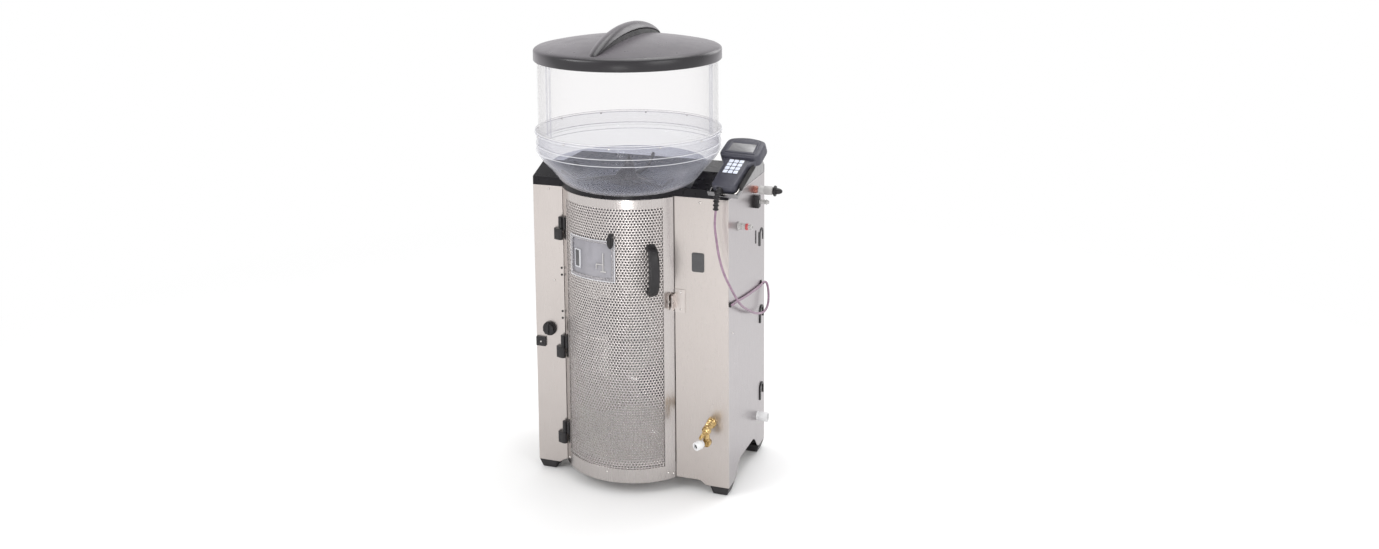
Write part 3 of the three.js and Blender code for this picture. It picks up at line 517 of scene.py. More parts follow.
def shrunk(outline, margin):
    """An outline pulled in about its middle by about the margin on each side."""
    xs = [p[0] for p in outline]
    ys = [p[1] for p in outline]
    middle = ((min(xs) + max(xs)) / 2, (min(ys) + max(ys)) / 2)
    fx = 1 - 2 * margin / (max(xs) - min(xs))
    fy = 1 - 2 * margin / (max(ys) - min(ys))
    return [(middle[0] + (x - middle[0]) * fx, middle[1] + (y - middle[1]) * fy) for x, y in outline]


def pillow(outline, low, high, round_low, round_high, steps=4):
    """A prism with rounded lower and upper edges."""
    loops = []
    for k in range(steps + 1):
        a = math.pi / 2 * k / steps
        inset = round_low * (1 - math.sin(a))
        loops.append([(x, y, low + round_low * (1 - math.cos(a))) for x, y in shrunk(outline, inset)])
    for k in range(steps + 1):
        a = math.pi / 2 * k / steps
        inset = round_high * (1 - math.cos(a))
        loops.append([(x, y, high - round_high * (1 - math.sin(a))) for x, y in shrunk(outline, inset)])
    return loft(loops)


def smooth_path(points, per_span=8):
    """A Catmull-Rom curve through the points."""
    ends = [2 * Vector(points[0]) - Vector(points[1])] + [Vector(p) for p in points]
    ends.append(2 * Vector(points[-1]) - Vector(points[-2]))
    path = []
    for a, b, c, d in zip(ends, ends[1:], ends[2:], ends[3:]):
        for k in range(per_span):
            t = k / per_span
            square = (2 * a - 5 * b + 4 * c - d) * t**2
            cube = (3 * b - a - 3 * c + d) * t**3
            path.append(0.5 * ((2 * b) + (c - a) * t + square + cube))
    path.append(Vector(points[-1]))
    return path


def tube(path, radius, sides=16):
    """A round bar along a path; the radius is a number or one per point."""
    radii = radius if isinstance(radius, (list, tuple)) else [radius] * len(path)
    last = len(path) - 1
    ahead = [(path[min(i + 1, last)] - path[max(i - 1, 0)]).normalized() for i in range(len(path))]
    across = ahead[0].orthogonal().normalized()
    loops = []
    for i, centre in enumerate(path):
        if i:
            across = (ahead[i - 1].rotation_difference(ahead[i]) @ across).normalized()
        up = ahead[i].cross(across)
        turns = [2 * math.pi * k / sides for k in range(sides)]
        loops.append([centre + (across * math.cos(t) + up * math.sin(t)) * radii[i] for t in turns])
    return loft(loops)


def on_arc(r, angle, z):
    """A point on the door: the angle is in degrees from straight ahead."""
    a = math.radians(angle - 90)
    return (DOOR_X + r * math.cos(a), DOOR_Y + r * math.sin(a), z)


def arc_sheet(inner, outer, angles, heights, opening=None):
    """A curved plate about the door's axis, as cells between the angles and heights.

    An opening is (lowest angle, highest angle, lowest z, highest z); cells centred in it are left out.
    """
    points = [on_arc(r, a, z) for r in (outer, inner) for a in angles for z in heights]
    rows, columns = len(angles) - 1, len(heights) - 1
    size = len(angles) * len(heights)

    def at(i, j):
        return i * len(heights) + j

    def left_out(i, j):
        if not opening:
            return False
        angle = (angles[i] + angles[i + 1]) / 2
        z = (heights[j] + heights[j + 1]) / 2
        return opening[0] < angle < opening[1] and opening[2] < z < opening[3]

    kept = {(i, j) for i in range(rows) for j in range(columns) if not left_out(i, j)}
    faces = []
    for i, j in sorted(kept):
        ring = [at(i, j), at(i + 1, j), at(i + 1, j + 1), at(i, j + 1)]
        faces.append(ring)
        faces.append([size + k for k in reversed(ring)])
        neighbours = [(i, j - 1), (i + 1, j), (i, j + 1), (i - 1, j)]
        for k, neighbour in enumerate(neighbours):
            if neighbour not in kept:
                a, b = ring[k], ring[(k + 1) % 4]
                faces.append([b, a, size + a, size + b])
    return points, faces


def steps(low, high, count):
    return [low + (high - low) * i / count for i in range(count + 1)]


def arc(x, y, r, start, end, count=10):
    """Points on a circle about (x, y), between two angles in degrees."""
    turns = [math.radians(a) for a in steps(start, end, count)]
    return [(x + r * math.cos(t), y + r * math.sin(t)) for t in turns]


def on_door(shape, angle, out=0, z=0):
    """Puts a shape drawn facing the viewer, its back at local z = 0, on the door's outside."""
    a = math.radians(angle - 90)
    outward = Vector((math.cos(a), math.sin(a), 0))
    across = Vector((-math.sin(a), math.cos(a), 0))
    centre = Vector((DOOR_X, DOOR_Y, z)) + outward * (DOOR_R + out)
    return moved(shape, from_columns(across, Vector((0, 0, 1)), outward, centre))


def on_front(shape, x, z, out=0.0):
    """Puts a shape drawn facing the viewer on the flat front."""
    return moved(shape, Matrix.Translation((x, -out, z)) @ FACING_FRONT)


def screw(radius, height=2.2, sides=24):
    """A pan head with a recess, standing on local z = 0."""
    shares = [(1, 0.35), (0.88, 0.75), (0.6, 1), (0.38, 1), (0.34, 0.45), (0, 0.4)]
    return lathe([(0, -1), (radius, -1), *[(radius * r, height * z) for r, z in shares]], sides)


def hexagon(across, low, high, corner=0.8):
    r = across / math.sqrt(3)
    points = [(r * math.cos(math.pi / 3 * i), r * math.sin(math.pi / 3 * i)) for i in range(6)]
    return pillow(rounded(points, corner, 2), low, high, 0.6, 0.6, 2)


# ---- pieces
SHARP = math.radians(38)


def in_scene(name, data):
    """Makes an object of the data and puts it in the scene."""
    made = bpy.data.objects.new(name, data)
    bpy.context.scene.collection.objects.link(made)
    return made


def piece(name, shape, material, body="root", stands_for=(), bevel=0.0, sheet=0.0):
    """Makes an object that rides on a CAD body, from a shape in design millimetres.

    It may stand for CAD nodes, which it then replaces. An open sheet gets a thickness.
    """
    points, faces = shape
    mesh = bpy.data.meshes.new(name)
    mesh.from_pydata([TO_ROW @ Vector(p) for p in points], [], faces)
    work = bmesh.new()
    work.from_mesh(mesh)
    bmesh.ops.remove_doubles(work, verts=work.verts, dist=1e-6)
    if not sheet:
        bmesh.ops.recalc_face_normals(work, faces=work.faces)
    work.to_mesh(mesh)
    work.free()
    mesh.shade_smooth()
    mesh.set_sharp_from_angle(angle=SHARP)
    mesh.materials.append(material)
    made = in_scene(name, mesh)
    if sheet:
        thickness = made.modifiers.new("thickness", "SOLIDIFY")
        thickness.thickness = sheet * MM
        thickness.offset = -1
    if bevel:
        add_bevel(made, bevel)
    if body:
        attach(made, body)
    if stands_for:
        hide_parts(*stands_for)
    return made


def add_bevel(made, width):
    modifier = made.modifiers.new("rounded edges", "BEVEL")
    modifier.width = width * MM
    modifier.segments = 2
    modifier.limit_method = "ANGLE"
    modifier.angle_limit = SHARP
    modifier.use_clamp_overlap = True
    modifier.miter_outer = "MITER_ARC"
    weighted = made.modifiers.new("flat faces", "WEIGHTED_NORMAL")
    weighted.keep_sharp = True


def welding_nodes():
    """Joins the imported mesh's split corners and forgets its flat normals, so its curves shade smoothly."""
    group = bpy.data.node_groups.new("weld_and_smooth", "GeometryNodeTree")
    group.interface.new_socket("Geometry", in_out="INPUT", socket_type="NodeSocketGeometry")
    group.interface.new_socket("Geometry", in_out="OUTPUT", socket_type="NodeSocketGeometry")
    add = group.nodes.new
    start = add("NodeGroupInput")
    end = add("NodeGroupOutput")
    forget = add("GeometryNodeRemoveAttribute")
    forget.inputs["Name"].default_value = "custom_normal"
    weld = add("GeometryNodeMergeByDistance")
    weld.inputs["Distance"].default_value = 1e-5
    faces = add("GeometryNodeSetShadeSmooth")
    angle = add("GeometryNodeInputMeshEdgeAngle")
    gentle = add("FunctionNodeCompare")
    gentle.operation = "LESS_THAN"
    gentle.inputs["B"].default_value = SHARP
    edges = add("GeometryNodeSetShadeSmooth")
    edges.domain = "EDGE"
    chain = (start, forget, weld, faces, edges, end)
    for before, after in zip(chain, chain[1:]):
        group.links.new(before.outputs[0], after.inputs[0])
    group.links.new(angle.outputs["Unsigned Angle"], gentle.inputs["A"])
    group.links.new(gentle.outputs[0], edges.inputs["Shade Smooth"])
    return group


WELDING = welding_nodes()


def dress(name, bevel):
    """Gives a carried-over CAD node its finish, and modifiers for smooth curves and rounded edges."""
    node = nodes[name]
    slot = node.data.materials[0].name.split(".")[0]
    for i in range(len(node.material_slots)):
        node.material_slots[i].material = NODE_FINISH.get(name, SLOT_FINISH[slot])
    modifier = node.modifiers.new("weld", "NODES")
    modifier.node_group = WELDING
    if bevel:
        planar = node.modifiers.new("planar", "DECIMATE")
        planar.decimate_type = "DISSOLVE"
        planar.angle_limit = math.radians(0.5)
        add_bevel(node, bevel)


# ---- dressing the carried-over nodes
# painted shade: the pump rotor is dark grey so the cabinet's inside reads dark through the perforations
NODE_FINISH = {
    "top_cover": COVER, "right_panel": PAINTED_SIDE_SHADE_STEEL, "terminal_cradle": PAINTED_SHADE_STEEL,
    "partition_panel": PAINTED_SHADE_STEEL, "pump_rotor": DARK_GREY, "pump_head": DARK_GREY,
}
FOOT_EDGE = 2.5
EDGES = {
    "left_panel": 0.7, "right_panel": 0.7, "rear_panel": 0.7, "floor_tray": 0.5, "partition_panel": 0.5,
    "foot_front_left": FOOT_EDGE, "foot_front_right": FOOT_EDGE,
    "foot_rear_left": FOOT_EDGE, "foot_rear_right": FOOT_EDGE,
    "top_cover": 1.4, "door_hasp": 0.5, "hasp_bracket": 0.5, "hose_hook_upper": 0.8, "hose_hook_lower": 0.8,
    "agitator": 1.0, "mixer_impeller": 0.4, "dosing_wheel": 0.8, "dosing_housing": 0.8, "dosing_motor": 1.0,
    "mixer_motor": 1.0, "control_box": 1.5, "pump_head": 1.0, "pump_rotor": 0.6, "pump_motor": 1.2,
    "terminal_cradle": 0.5,
}
for cad_name in sorted(nodes):
    dress(cad_name, EDGES.get(cad_name, 0.0))


# ---- door
OPENING_LOW = 78
OPENING_HIGH = 849
HOLE_PITCH = 9.0
HOLE_R = 2.75
MM_PER_DEGREE = MESH_R * math.pi / 180
TILE_EDGE = [
    (-0.5, -0.5), (-0.25, -0.5), (0, -0.5), (0.25, -0.5), (0.5, -0.5), (0.5, 0),
    (0.5, 0.5), (0.25, 0.5), (0, 0.5), (-0.25, 0.5), (-0.5, 0.5), (-0.5, 0),
]


def hole_tiles(low, high):
    """Staggered rows of tiles, each a rectangle round one hole, on the door's arc."""
    half = BORDER + 1.3
    columns = int(2 * half * MM_PER_DEGREE / HOLE_PITCH)
    rows = round((high - low) / (HOLE_PITCH * math.sqrt(3) / 2))
    height = (high - low) / rows
    sides = len(TILE_EDGE)
    turns = [math.radians(-150 + 30 * k) for k in range(sides)]
    hole = [(math.cos(a), math.sin(a)) for a in turns]
    points, faces = [], []
    for j in range(rows):
        z = low + (j + 0.5) * height
        for i in range(columns):
            across = (i - columns / 2 + 0.25 + 0.5 * (j % 2)) * HOLE_PITCH
            angle = across / MM_PER_DEGREE
            beside = WINDOW_FROM + 0.4 < angle < WINDOW_TO - 0.4
            level = WINDOW_LOW + 1.5 < z < WINDOW_HIGH - 1.5
            if beside and level:
                continue
            start = len(points)
            for x, y in TILE_EDGE:
                turned = (across + x * HOLE_PITCH) / MM_PER_DEGREE
                points.append(on_arc(MESH_R, turned, z + y * height))
            for x, y in hole:
                turned = (across + x * HOLE_R) / MM_PER_DEGREE
                points.append(on_arc(MESH_R, turned, z + y * HOLE_R))
            for k in range(sides):
                n = (k + 1) % sides
                faces.append([start + k, start + n, start + sides + n, start + sides + k])
    return points, faces


def perforated_door():
    """Two bands of real perforated sheet behind the door's opening."""
    low, middle, high = OPENING_LOW - 6, 462.0, OPENING_HIGH + 6
    for name, foot, top in (("door_mesh_lower", low, middle), ("door_mesh_upper", middle, high)):
        piece(name, hole_tiles(foot, top), MESH_STEEL, "door", stands_for=["door_mesh"], sheet=MESH_SHEET)


def door_skin():
    """The door's solid border round its opening, with a folded lip at the top and the bottom."""
    angles = steps(-DOOR_HALF_ANGLE, -BORDER, 4)
    angles += steps(-BORDER, BORDER, 44)[1:]
    angles += steps(BORDER, DOOR_HALF_ANGLE, 4)[1:]
    heights = [DOOR_BOTTOM, OPENING_LOW, OPENING_HIGH, DOOR_TOP]
    opening = (-BORDER, BORDER, OPENING_LOW, OPENING_HIGH)
    skin = arc_sheet(DOOR_R - DOOR_SHEET, DOOR_R, angles, heights, opening)
    round_angles = steps(-DOOR_HALF_ANGLE, DOOR_HALF_ANGLE, 48)
    lips = [
        arc_sheet(DOOR_R - 14, DOOR_R - 2.2, round_angles, [z, z + DOOR_SHEET])
        for z in (DOOR_BOTTOM, DOOR_TOP - DOOR_SHEET)
    ]
    piece("door_skin", merged(skin, *lips), DOOR_STEEL, "door", stands_for=["door_frame"], bevel=0.5)
    places = ((-1.9, 66), (48.3, 56), (-48.3, 56), (53, 50))
    screws = [on_door(screw(3.4), angle, 0, z) for angle, z in places]
    piece("door_screws", merged(*screws), POLISHED, "door")


def window():
    """A bent clear sheet over the cut-out, with rolled edges, and a level gauge behind it."""
    out, inside = 1.3, 1.2
    rise, drop = 4.5, 4.0
    angles = [WINDOW_FROM - out, *steps(WINDOW_FROM + inside, WINDOW_TO - inside, 20), WINDOW_TO + out]
    heights = [WINDOW_LOW - rise, WINDOW_LOW + drop, WINDOW_HIGH - drop, WINDOW_HIGH + rise]
    glazed = (WINDOW_FROM + inside, WINDOW_TO - inside, WINDOW_LOW + drop, WINDOW_HIGH - drop)
    frame_shape = arc_sheet(MESH_R + 0.3, DOOR_R + 0.2, angles, heights, glazed)
    piece("window_surround", frame_shape, WINDOW_RIM, "door", stands_for=["window_frame"], bevel=0.8)
    span = steps(WINDOW_FROM - out, WINDOW_TO + out, 24)
    foot, top = WINDOW_LOW - rise, WINDOW_HIGH + rise
    left, right = WINDOW_FROM - out, WINDOW_TO + out
    tall = [foot + 2, top - 2]
    edges = (
        (2.2, span, [top - 2, top]),
        (2.2, span, [foot, foot + 2]),
        (2.2, [right - 0.6, right], tall),
        (1.4, [left, left + 0.4], tall),
    )
    lips = [arc_sheet(DOOR_R + 0.3, DOOR_R + proud, *cells) for proud, *cells in edges]
    piece("window_lips", merged(*lips), CLEAR_RIM, "door", bevel=0.5)
    pane_angles = steps(WINDOW_FROM - 1, WINDOW_TO + 1, 24)
    pane = arc_sheet(MESH_R - 4, MESH_R - 2, pane_angles, [WINDOW_LOW - 4, WINDOW_HIGH + 4])
    piece("window_glazing", pane, WINDOW_SHEET, "door", stands_for=["window_pane"])
    bars = ((-12, 12, 24, 27), (-12, 12, -27, -24), (-12, -10.5, -27, 27), (7, 12, -27, 27))
    bezel = merged(*[pillow(rectangle(x0, x1, y0, y1, 1), 0, 4, 0.4, 1.0) for x0, x1, y0, y1 in bars])
    proud = MESH_R - 1.6 - DOOR_R
    piece("gauge_bezel", on_door(bezel, -28.3, proud, 688), CLEAR_RIM, "door")
    glass = pillow(rectangle(-10, 6.5, -23.5, 23.5, 1), 0.5, 2.0, 0.3, 0.6)
    piece("gauge_glass", on_door(glass, -28.3, proud, 688), DARK_GLASS, "door")
    rods = (
        (-1.6, 1.6, -28, 26, 1.4), (-22, 1.6, -9, -6, 1.2),
        (-22, -19.6, -22, -6, 1.1), (-8, 9, -30, -26, 1.4),
    )
    latch = merged(*[pillow(rectangle(*rod), 0, 2.4, 0.3, 1.0) for rod in rods])
    piece("pane_latch", on_door(latch, -3, proud, 690), GREY, "door")


def bow_handle():
    """A moulded bow with rounded sides, on two feet."""
    stations = 28
    loops = []
    for k in range(stations + 1):
        t = math.pi * k / stations
        up = -66 * math.cos(t)
        out = 3 + 33 * math.sin(t) ** 0.75
        outward = 24.75 * math.cos(t) * max(math.sin(t), 0.05) ** -0.25
        slope = math.atan2(66 * math.sin(t) + 1e-6, outward)
        width = 13 + 2.5 * math.sin(t)
        thick = 6.5 + 1.0 * math.sin(t)
        loop = []
        for n in range(24):
            a = 2 * math.pi * n / 24
            c, d = math.cos(a), math.sin(a)
            x = width * math.copysign(abs(c) ** 0.6, c)
            depth = thick * math.copysign(abs(d) ** 0.6, d)
            loop.append((x, up - depth * math.cos(slope), out + depth * math.sin(slope)))
        loops.append(loop)
    foot = pillow(ellipse(30, 26), -2, 5, 0.5, 2.5)
    return merged(loft(loops), shifted(foot, 0, -64), shifted(foot, 0, 64))


def hinge_fixed(z):
    """The half on the cabinet: a rounded block with a knuckle that carries the pin."""
    outline = rounded(
        [(-232, -0.4), (-232, -9), (-213, -16.2), (-205, -15.4), (-202.2, -9), (-206, -2.6), (-212, -0.4)],
        [0.1, 3, 3, 3, 2, 2, 0.1], 4,
    )
    low = z - HINGE_HALF
    pin = shifted(lathe([(0, 0), (3, 0), (3, 64), (2, 66), (0, 66)], 20), HINGE_X, HINGE_Y, low + 2)
    caps = [on_front(screw(3.2, 1.6), -225, low + h, 10.6) for h in (8, 25)]
    return merged(pillow(outline, low, z - 1, 1.2, 1.2), pin, *caps)


def hinge_leaf(z):
    """The half on the door, which drops over the pin."""
    high = z + HINGE_HALF
    knuckle = lathe([(0, 32), (3.7, 32), (3.7, 0), (5.8, 0), (7, 1.2), (7, 33.4), (5.4, 35), (0, 35)], 28)
    plate = on_door(pillow(rectangle(-10, 9, 0, 35, 2.5), 0.4, 5, 0.2, 1.5), -50.5, 0, z)
    caps = [on_door(screw(3, 1.4), -49.2, 5, z + h) for h in (9, 26)]
    return merged(plate, shifted(knuckle, HINGE_X, HINGE_Y, high - 35), *caps)


perforated_door()
door_skin()
window()
piece("bow_handle", on_door(bow_handle(), 35.5, 0, 669), BLACK, "door", stands_for=["door_handle"])
catch = merged(
    pillow(ellipse(19, 44), 1.1, 8, 0.4, 2.5),
    pillow(ellipse(9, 30), 6, 12, 0.3, 2.0),
)
piece("catch_knob", on_door(catch, 4, 0, 755), BLACK, "window_catch", stands_for=["window_catch"])
for place, height in HINGE_HEIGHTS.items():
    piece(f"hinge_block_{place}", hinge_fixed(height), BLACK, stands_for=[f"hinge_fixed_{place}"])
    piece(f"hinge_wing_{place}", hinge_leaf(height), BLACK, "door", stands_for=[f"hinge_leaf_{place}"])


# ---- front fittings
def switch_knob():
    """A fluted round grip on a skirt, with a pointer bar across it."""
    flutes = 10
    grip = []
    for i in range(80):
        a = 2 * math.pi * i / 80
        r = 17 * (1 - 0.035 * math.cos(flutes * a))
        grip.append((r * math.cos(a), r * math.sin(a)))
    skirt = lathe([(0, 0.3), (20.5, 0.3), (21, 1.2), (21, 6), (19, 9), (0, 9)], 56)
    pointer = pillow(rectangle(-3.6, 3.6, -15, 15, 3), 14, 20, 0.4, 2)
    return merged(skirt, pillow(grip, 8, 16, 0.4, 2.2), pointer)


def power_socket():
    """A square plate with a round collar."""
    plate = pillow(rectangle(-15.5, 15.5, -14.5, 14.5, 3), 0.3, 6.4, 0.2, 1.4)
    collar = lathe([(6.5, 2), (9.5, 2), (9.5, 6.8), (8.6, 7.4), (7.4, 7.4), (6.5, 6.6)], 36)
    return merged(plate, shifted(collar, 0.5, 0, 0))


piece("rotary_knob", on_front(switch_knob(), -255, 442), BLACK, "switch_knob", stands_for=["switch_knob"])
piece("inlet_socket", on_front(power_socket(), -283.5, 399.5), BLACK, stands_for=["power_socket"])
pin = lathe([(0, 6), (2.4, 6), (2.4, 7.6), (1.6, 8), (0, 8)], 20)
piece("socket_pin", on_front(pin, -283, 399.5), POLISHED)
display = merged(
    pillow(rectangle(-18.5, 18.5, -28, 28, 6), 0.3, 2.2, 0.1, 0.8),
    pillow(rectangle(-15, 15, -24.5, 24.5, 3), 1.5, 2.7, 0.1, 0.5),
)
piece("front_display", on_front(display, 210.5, 689), DARK_GLASS, stands_for=["service_window"])
front_screws = [on_front(screw(3.4), x, z) for x, z in ((-250, 866), (-237, 591), (217, 863))]
front_screws += [on_front(screw(3.2), x, z, 2.3) for x, z in ((158, 596), (158, 546))]
piece("front_screws", merged(*front_screws), POLISHED)
plug = lathe([(0, -1), (3.4, -1), (3.4, 0.8), (2.4, 1.6), (0, 1.6)], 20)
piece("front_plugs", merged(*[on_front(plug, -213, z) for z in (631, 610, 499, 478)]), BLACK)


# ---- brass tap
TAP_X = 250
TAP_Z = 220
TAP_BALL = -48
TAP_OUTLET = 182
SPOUT = Vector((-0.5, -0.85, -0.12)).normalized()


def along_spout(shape):
    """Turns a shape's z from straight up to the way the spout points."""
    turn = Vector((0, 0, 1)).rotation_difference(SPOUT).to_matrix().to_4x4()
    origin = Vector((TAP_X - 3, TAP_BALL, TAP_OUTLET))
    return moved(shape, Matrix.Translation(origin) @ turn)


def tap_body():
    """Wall flange, ribbed neck, ball housing, and an elbow whose round plug faces the viewer."""
    flange = on_front(hexagon(27, 0.3, 8, 1.5), TAP_X, TAP_Z)
    neck_profile = [(0, 6)]
    for start, r in ((7, 11), (14, 9.5), (20, 11.5), (27, 10), (33, 11)):
        neck_profile += [(r - 2.5, start), (r, start + 1.4), (r, start + 4.0), (r - 2.5, start + 5.6)]
    neck = on_front(lathe([*neck_profile, (8.5, -TAP_BALL), (0, -TAP_BALL)], 32), TAP_X, TAP_Z)
    ball = lathe([(0, -14), *arc(0, 0, 13.5, -75, 75, 15), (0, 14)], 36)
    ball = shifted(ball, TAP_X, TAP_BALL, TAP_Z - 4)
    gland = lathe([(0, 0), (8, 0), (8, 7), (9, 8), (9, 10), (5.6, 11.5), (0, 11.5)], 28)
    gland = on_front(gland, TAP_X, TAP_Z - 4, -TAP_BALL + 4)
    leg = lathe([(0, -10), (8, -10), (9.5, -8), (9.5, 30), (0, 30)], 32)
    leg = shifted(leg, TAP_X - 1, TAP_BALL, TAP_OUTLET)
    plug_profile = [(0, -8), (10.5, -8), (11.5, -6), (11.5, 9), (10.4, 11)]
    plug_profile += [(8.6, 11), (8.0, 9.4), (6.2, 9.4), (5.6, 11.4), (0, 11.8)]
    plug = on_front(lathe(plug_profile, 36), TAP_X + 2, TAP_OUTLET - 1, -TAP_BALL)
    stub = along_spout(lathe([(0, 0), (7, 0), (7, 11), (6, 12), (0, 12)], 28))
    return merged(flange, neck, ball, gland, leg, plug, stub)


def tap_lever():
    """A short ribbed lever folded down over the tap, clamped by a nut on its stem."""
    turn = Matrix.Rotation(math.radians(52), 4, "Z")
    outline = rounded([(-27, -4), (-24, -6), (3, -6), (6, 0), (3, 6), (-22, 4), (-27, 1)], 3, 4)
    blade = moved(pillow(outline, 16, 20, 0.8, 1.4), turn)
    ridge = pillow(rectangle(-1, 1, -4, 3, 0.8), 19, 21.2, 0.1, 0.6)
    ridges = [moved(shifted(ridge, x), turn) for x in (-20, -16, -12)]
    nut = hexagon(10, 19, 23, 0.6)
    stem = lathe([(0, 13.6), (5, 13.6), (5, 22), (0, 22)], 24)
    return on_front(merged(blade, nut, stem, *ridges), TAP_X, TAP_Z - 4, -TAP_BALL)


def tap_nozzle():
    """The white hose tail on the spout, with its bore."""
    profile = [(0, 12.4), (9.4, 12.4), (10.2, 13.2), (10.2, 18), (12.4, 20), (12.4, 37)]
    profile += [(11.0, 39), (7.6, 39), (7.2, 38), (7.2, 17), (0, 17)]
    return along_spout(lathe(profile, 40))


piece("brass_tap", tap_body(), BRASS, stands_for=["tap_body"])
piece("brass_lever", tap_lever(), BRASS, "tap_lever", stands_for=["tap_lever"])
piece("tap_hose_tail", tap_nozzle(), WHITE, stands_for=["tap_nozzle"])
# painted shade: a black plug inside the hose tail's bore makes the hole read dark
bore = lathe([(0, 17.4), (6.9, 17.4), (6.9, 34), (5.2, 34.6), (3.0, 30), (1.6, 36.4), (0, 36.8)], 32)
piece("tap_bore_painted_shade", along_spout(bore), BLACK)


# ---- hopper
def about_hopper(profile, sides=128):
    return shifted(lathe(profile, sides), 0, HOPPER_Y, 0)


def smooth_profile(points, per_span=4):
    """Softens a profile's middle while keeping its end points."""
    path = smooth_path([(r, z, 0) for r, z in points], per_span)
    return [(p.x, p.y) for p in path]


def hopper():
    """Clear bowl with a flange, the wall standing in it, the joint ring, and a smoky sheet low down that
    paints shade into the bowl.
    """
    outside = smooth_profile(
        [(160, 903), (172, 905.5), (196, 921), (222, 953), (244, 977), (256, 994), (260.6, 1008)])
    inside = smooth_profile(
        [(257.2, 1010), (252.6, 997), (241, 979), (219, 956), (193.5, 924), (171, 909), (160, 906)])
    bead = [(261.4, 1012), (261.4, 1020), (260.2, 1023), (261, 1026), (261, 1050)]
    bead += [(264, 1052.5), (264, FLANGE_Z)]
    shelf = [(257.5, FLANGE_Z), (257.5, WALL_FOOT), (252, WALL_FOOT), (252, 1022.5), (257.4, 1018)]
    neck = [(60, 906), (60, 868), (64, 868), (64, BOWL_BASE)]
    bowl = about_hopper([*neck, *outside, *bead, *shelf, *inside])
    piece("hopper_moulding", bowl, CLEAR_BOWL, stands_for=["hopper_bowl"])
    foot = WALL_FOOT + 0.3
    wall = about_hopper([(WALL_R - 3, foot), (WALL_R, foot), (WALL_R, WALL_TOP), (WALL_R - 3, WALL_TOP)])
    piece("hopper_cylinder", wall, CLEAR, stands_for=["hopper_wall"])
    ring_r, ring_z = WALL_R + 0.5, FLANGE_Z + 0.3
    ring = about_hopper([
        (ring_r, ring_z), (262.5, ring_z), (263.4, FLANGE_Z + 1.5),
        (262.5, FLANGE_Z + 5), (ring_r, FLANGE_Z + 5),
    ])
    # painted shade: a smoky clear sheet inside the bowl darkens what is seen through it
    painted_shade_sheet = about_hopper([
        (61, 907.3), (160, 907.3), (171, 910.4), (193, 925.2), (218, 957), (222, 961), (221, 962.6),
        (192, 926.6), (170, 912), (159.5, 908.8), (61, 908.8),
    ])
    piece("hopper_painted_shade", painted_shade_sheet, CLEAR_PAINTED_SHADE)
    piece("hopper_collar", ring, CLEAR, stands_for=["hopper_ring"])
    places = ((263.6, FLANGE_Z + 2.5), (264.3, FLANGE_Z - 3.5), (261.4, WALL_FOOT - 1), (261.6, 1006))
    beads = [
        about_hopper([(r, z), (r + 1.6, z), (r + 2.0, z + 0.8), (r + 1.6, z + 1.6), (r, z + 1.6)])
        for r, z in places
    ]
    piece("hopper_beads", merged(*beads), CLEAR_RIM)


def seam_strips():
    """Overlapped joints in the clear wall, each a thin upright strip."""
    strips = []
    strip = pillow(rectangle(-5, 5, 0, 0.9, 0.3, 2), FLANGE_Z + 6, LID_RIM, 0.2, 0.2, 2)
    for degrees in (-38, -34, 83, 86):
        turn = Matrix.Translation((0, HOPPER_Y, 0)) @ Matrix.Rotation(math.radians(degrees), 4, "Z")
        strips.append(moved(shifted(strip, 0, -WALL_R - 1.0, 0), turn))
    return merged(*strips)


def flange_bolts():
    """Round heads spaced evenly about the flange."""
    count = 12
    bolts = []
    head = moved(screw(2.8, 2.4, 20), FACING_FRONT)
    for k in range(count):
        turn = Matrix.Rotation(2 * math.pi * (k + 0.35) / count, 4, "Z")
        turn = Matrix.Translation((0, HOPPER_Y, 0)) @ turn
        bolts.append(moved(shifted(head, 0, -264, 1056), turn))
    return merged(*bolts)


hopper()
piece("hopper_seams", seam_strips(), CLEAR_BOWL)
piece("hopper_bolts", flange_bolts(), POLISHED)


def lid_height(r):
    """Height of the dome at a distance from its middle."""
    return LID_APEX - 29 * (min(r, 261) / 261) ** 2.1


def lid_dome():
    """A thin dome whose rim turns down over the wall."""
    outside = [(r, lid_height(r)) for r in steps(0, 258, 20)]
    outside += [(262.5, LID_APEX - 31), (265.2, LID_APEX - 34), (LID_R, LID_APEX - 38)]
    outside += [(LID_R, LID_RIM + 1.5), (265, LID_RIM)]
    inside = [(262.5, LID_RIM), (262, LID_RIM + 1), (262, WALL_TOP + 2)]
    inside += [(257, WALL_TOP + 0.4), (246, WALL_TOP + 0.4)]
    inside += [(r, lid_height(r) - 4) for r in steps(243, 0, 12)]
    return about_hopper([*outside, *inside])


def lid_grip(pocket=False):
    """An arched crescent from front to back, undercut on its right; or just a black block in that undercut,
    painted shade for its hollow.
    """
    front, back = -236, 262
    middle = (front + back) / 2
    half = (back - front) / 2
    stations = 40
    loops = []
    for k in range(3, stations - 2) if pocket else range(stations + 1):
        y = front + (back - front) * (0.5 - 0.5 * math.cos(math.pi * k / stations))
        share = math.sqrt(max(0.0, 1 - ((y - middle) / half) ** 2))
        base = lid_height(abs(y - HOPPER_Y)) - 4
        crest = base + 1.5 + (GRIP_APEX - lid_height(0) + 2.5) * share**1.25
        rise = crest - base
        reach = 7 + 37 * share
        depth = share**2 * reach
        section = [
            (-reach, 0.0), (-reach * 0.86, 0.24), (-reach * 0.68, 0.52), (-reach * 0.46, 0.76),
            (-reach * 0.22, 0.93), (reach * 0.02, 1.0), (reach * 0.24, 0.96), (reach * 0.40, 0.85),
            (reach * 0.51, 0.68), (reach * 0.55, 0.53), (reach * 0.51, 0.46),
            (reach * 0.44 - 0.34 * depth, 0.44), (reach * 0.4 - 0.66 * depth, 0.24),
            (reach * 0.4 - 0.60 * depth, 0.0),
        ]
        if pocket:
            section = [(reach * 0.36, 0.1), (reach * 0.47, 0.1), (reach * 0.45, 0.43), (reach * 0.36, 0.43)]
        loops.append([(x, y, base + rise * up) for x, up in section])
    return loft(loops)


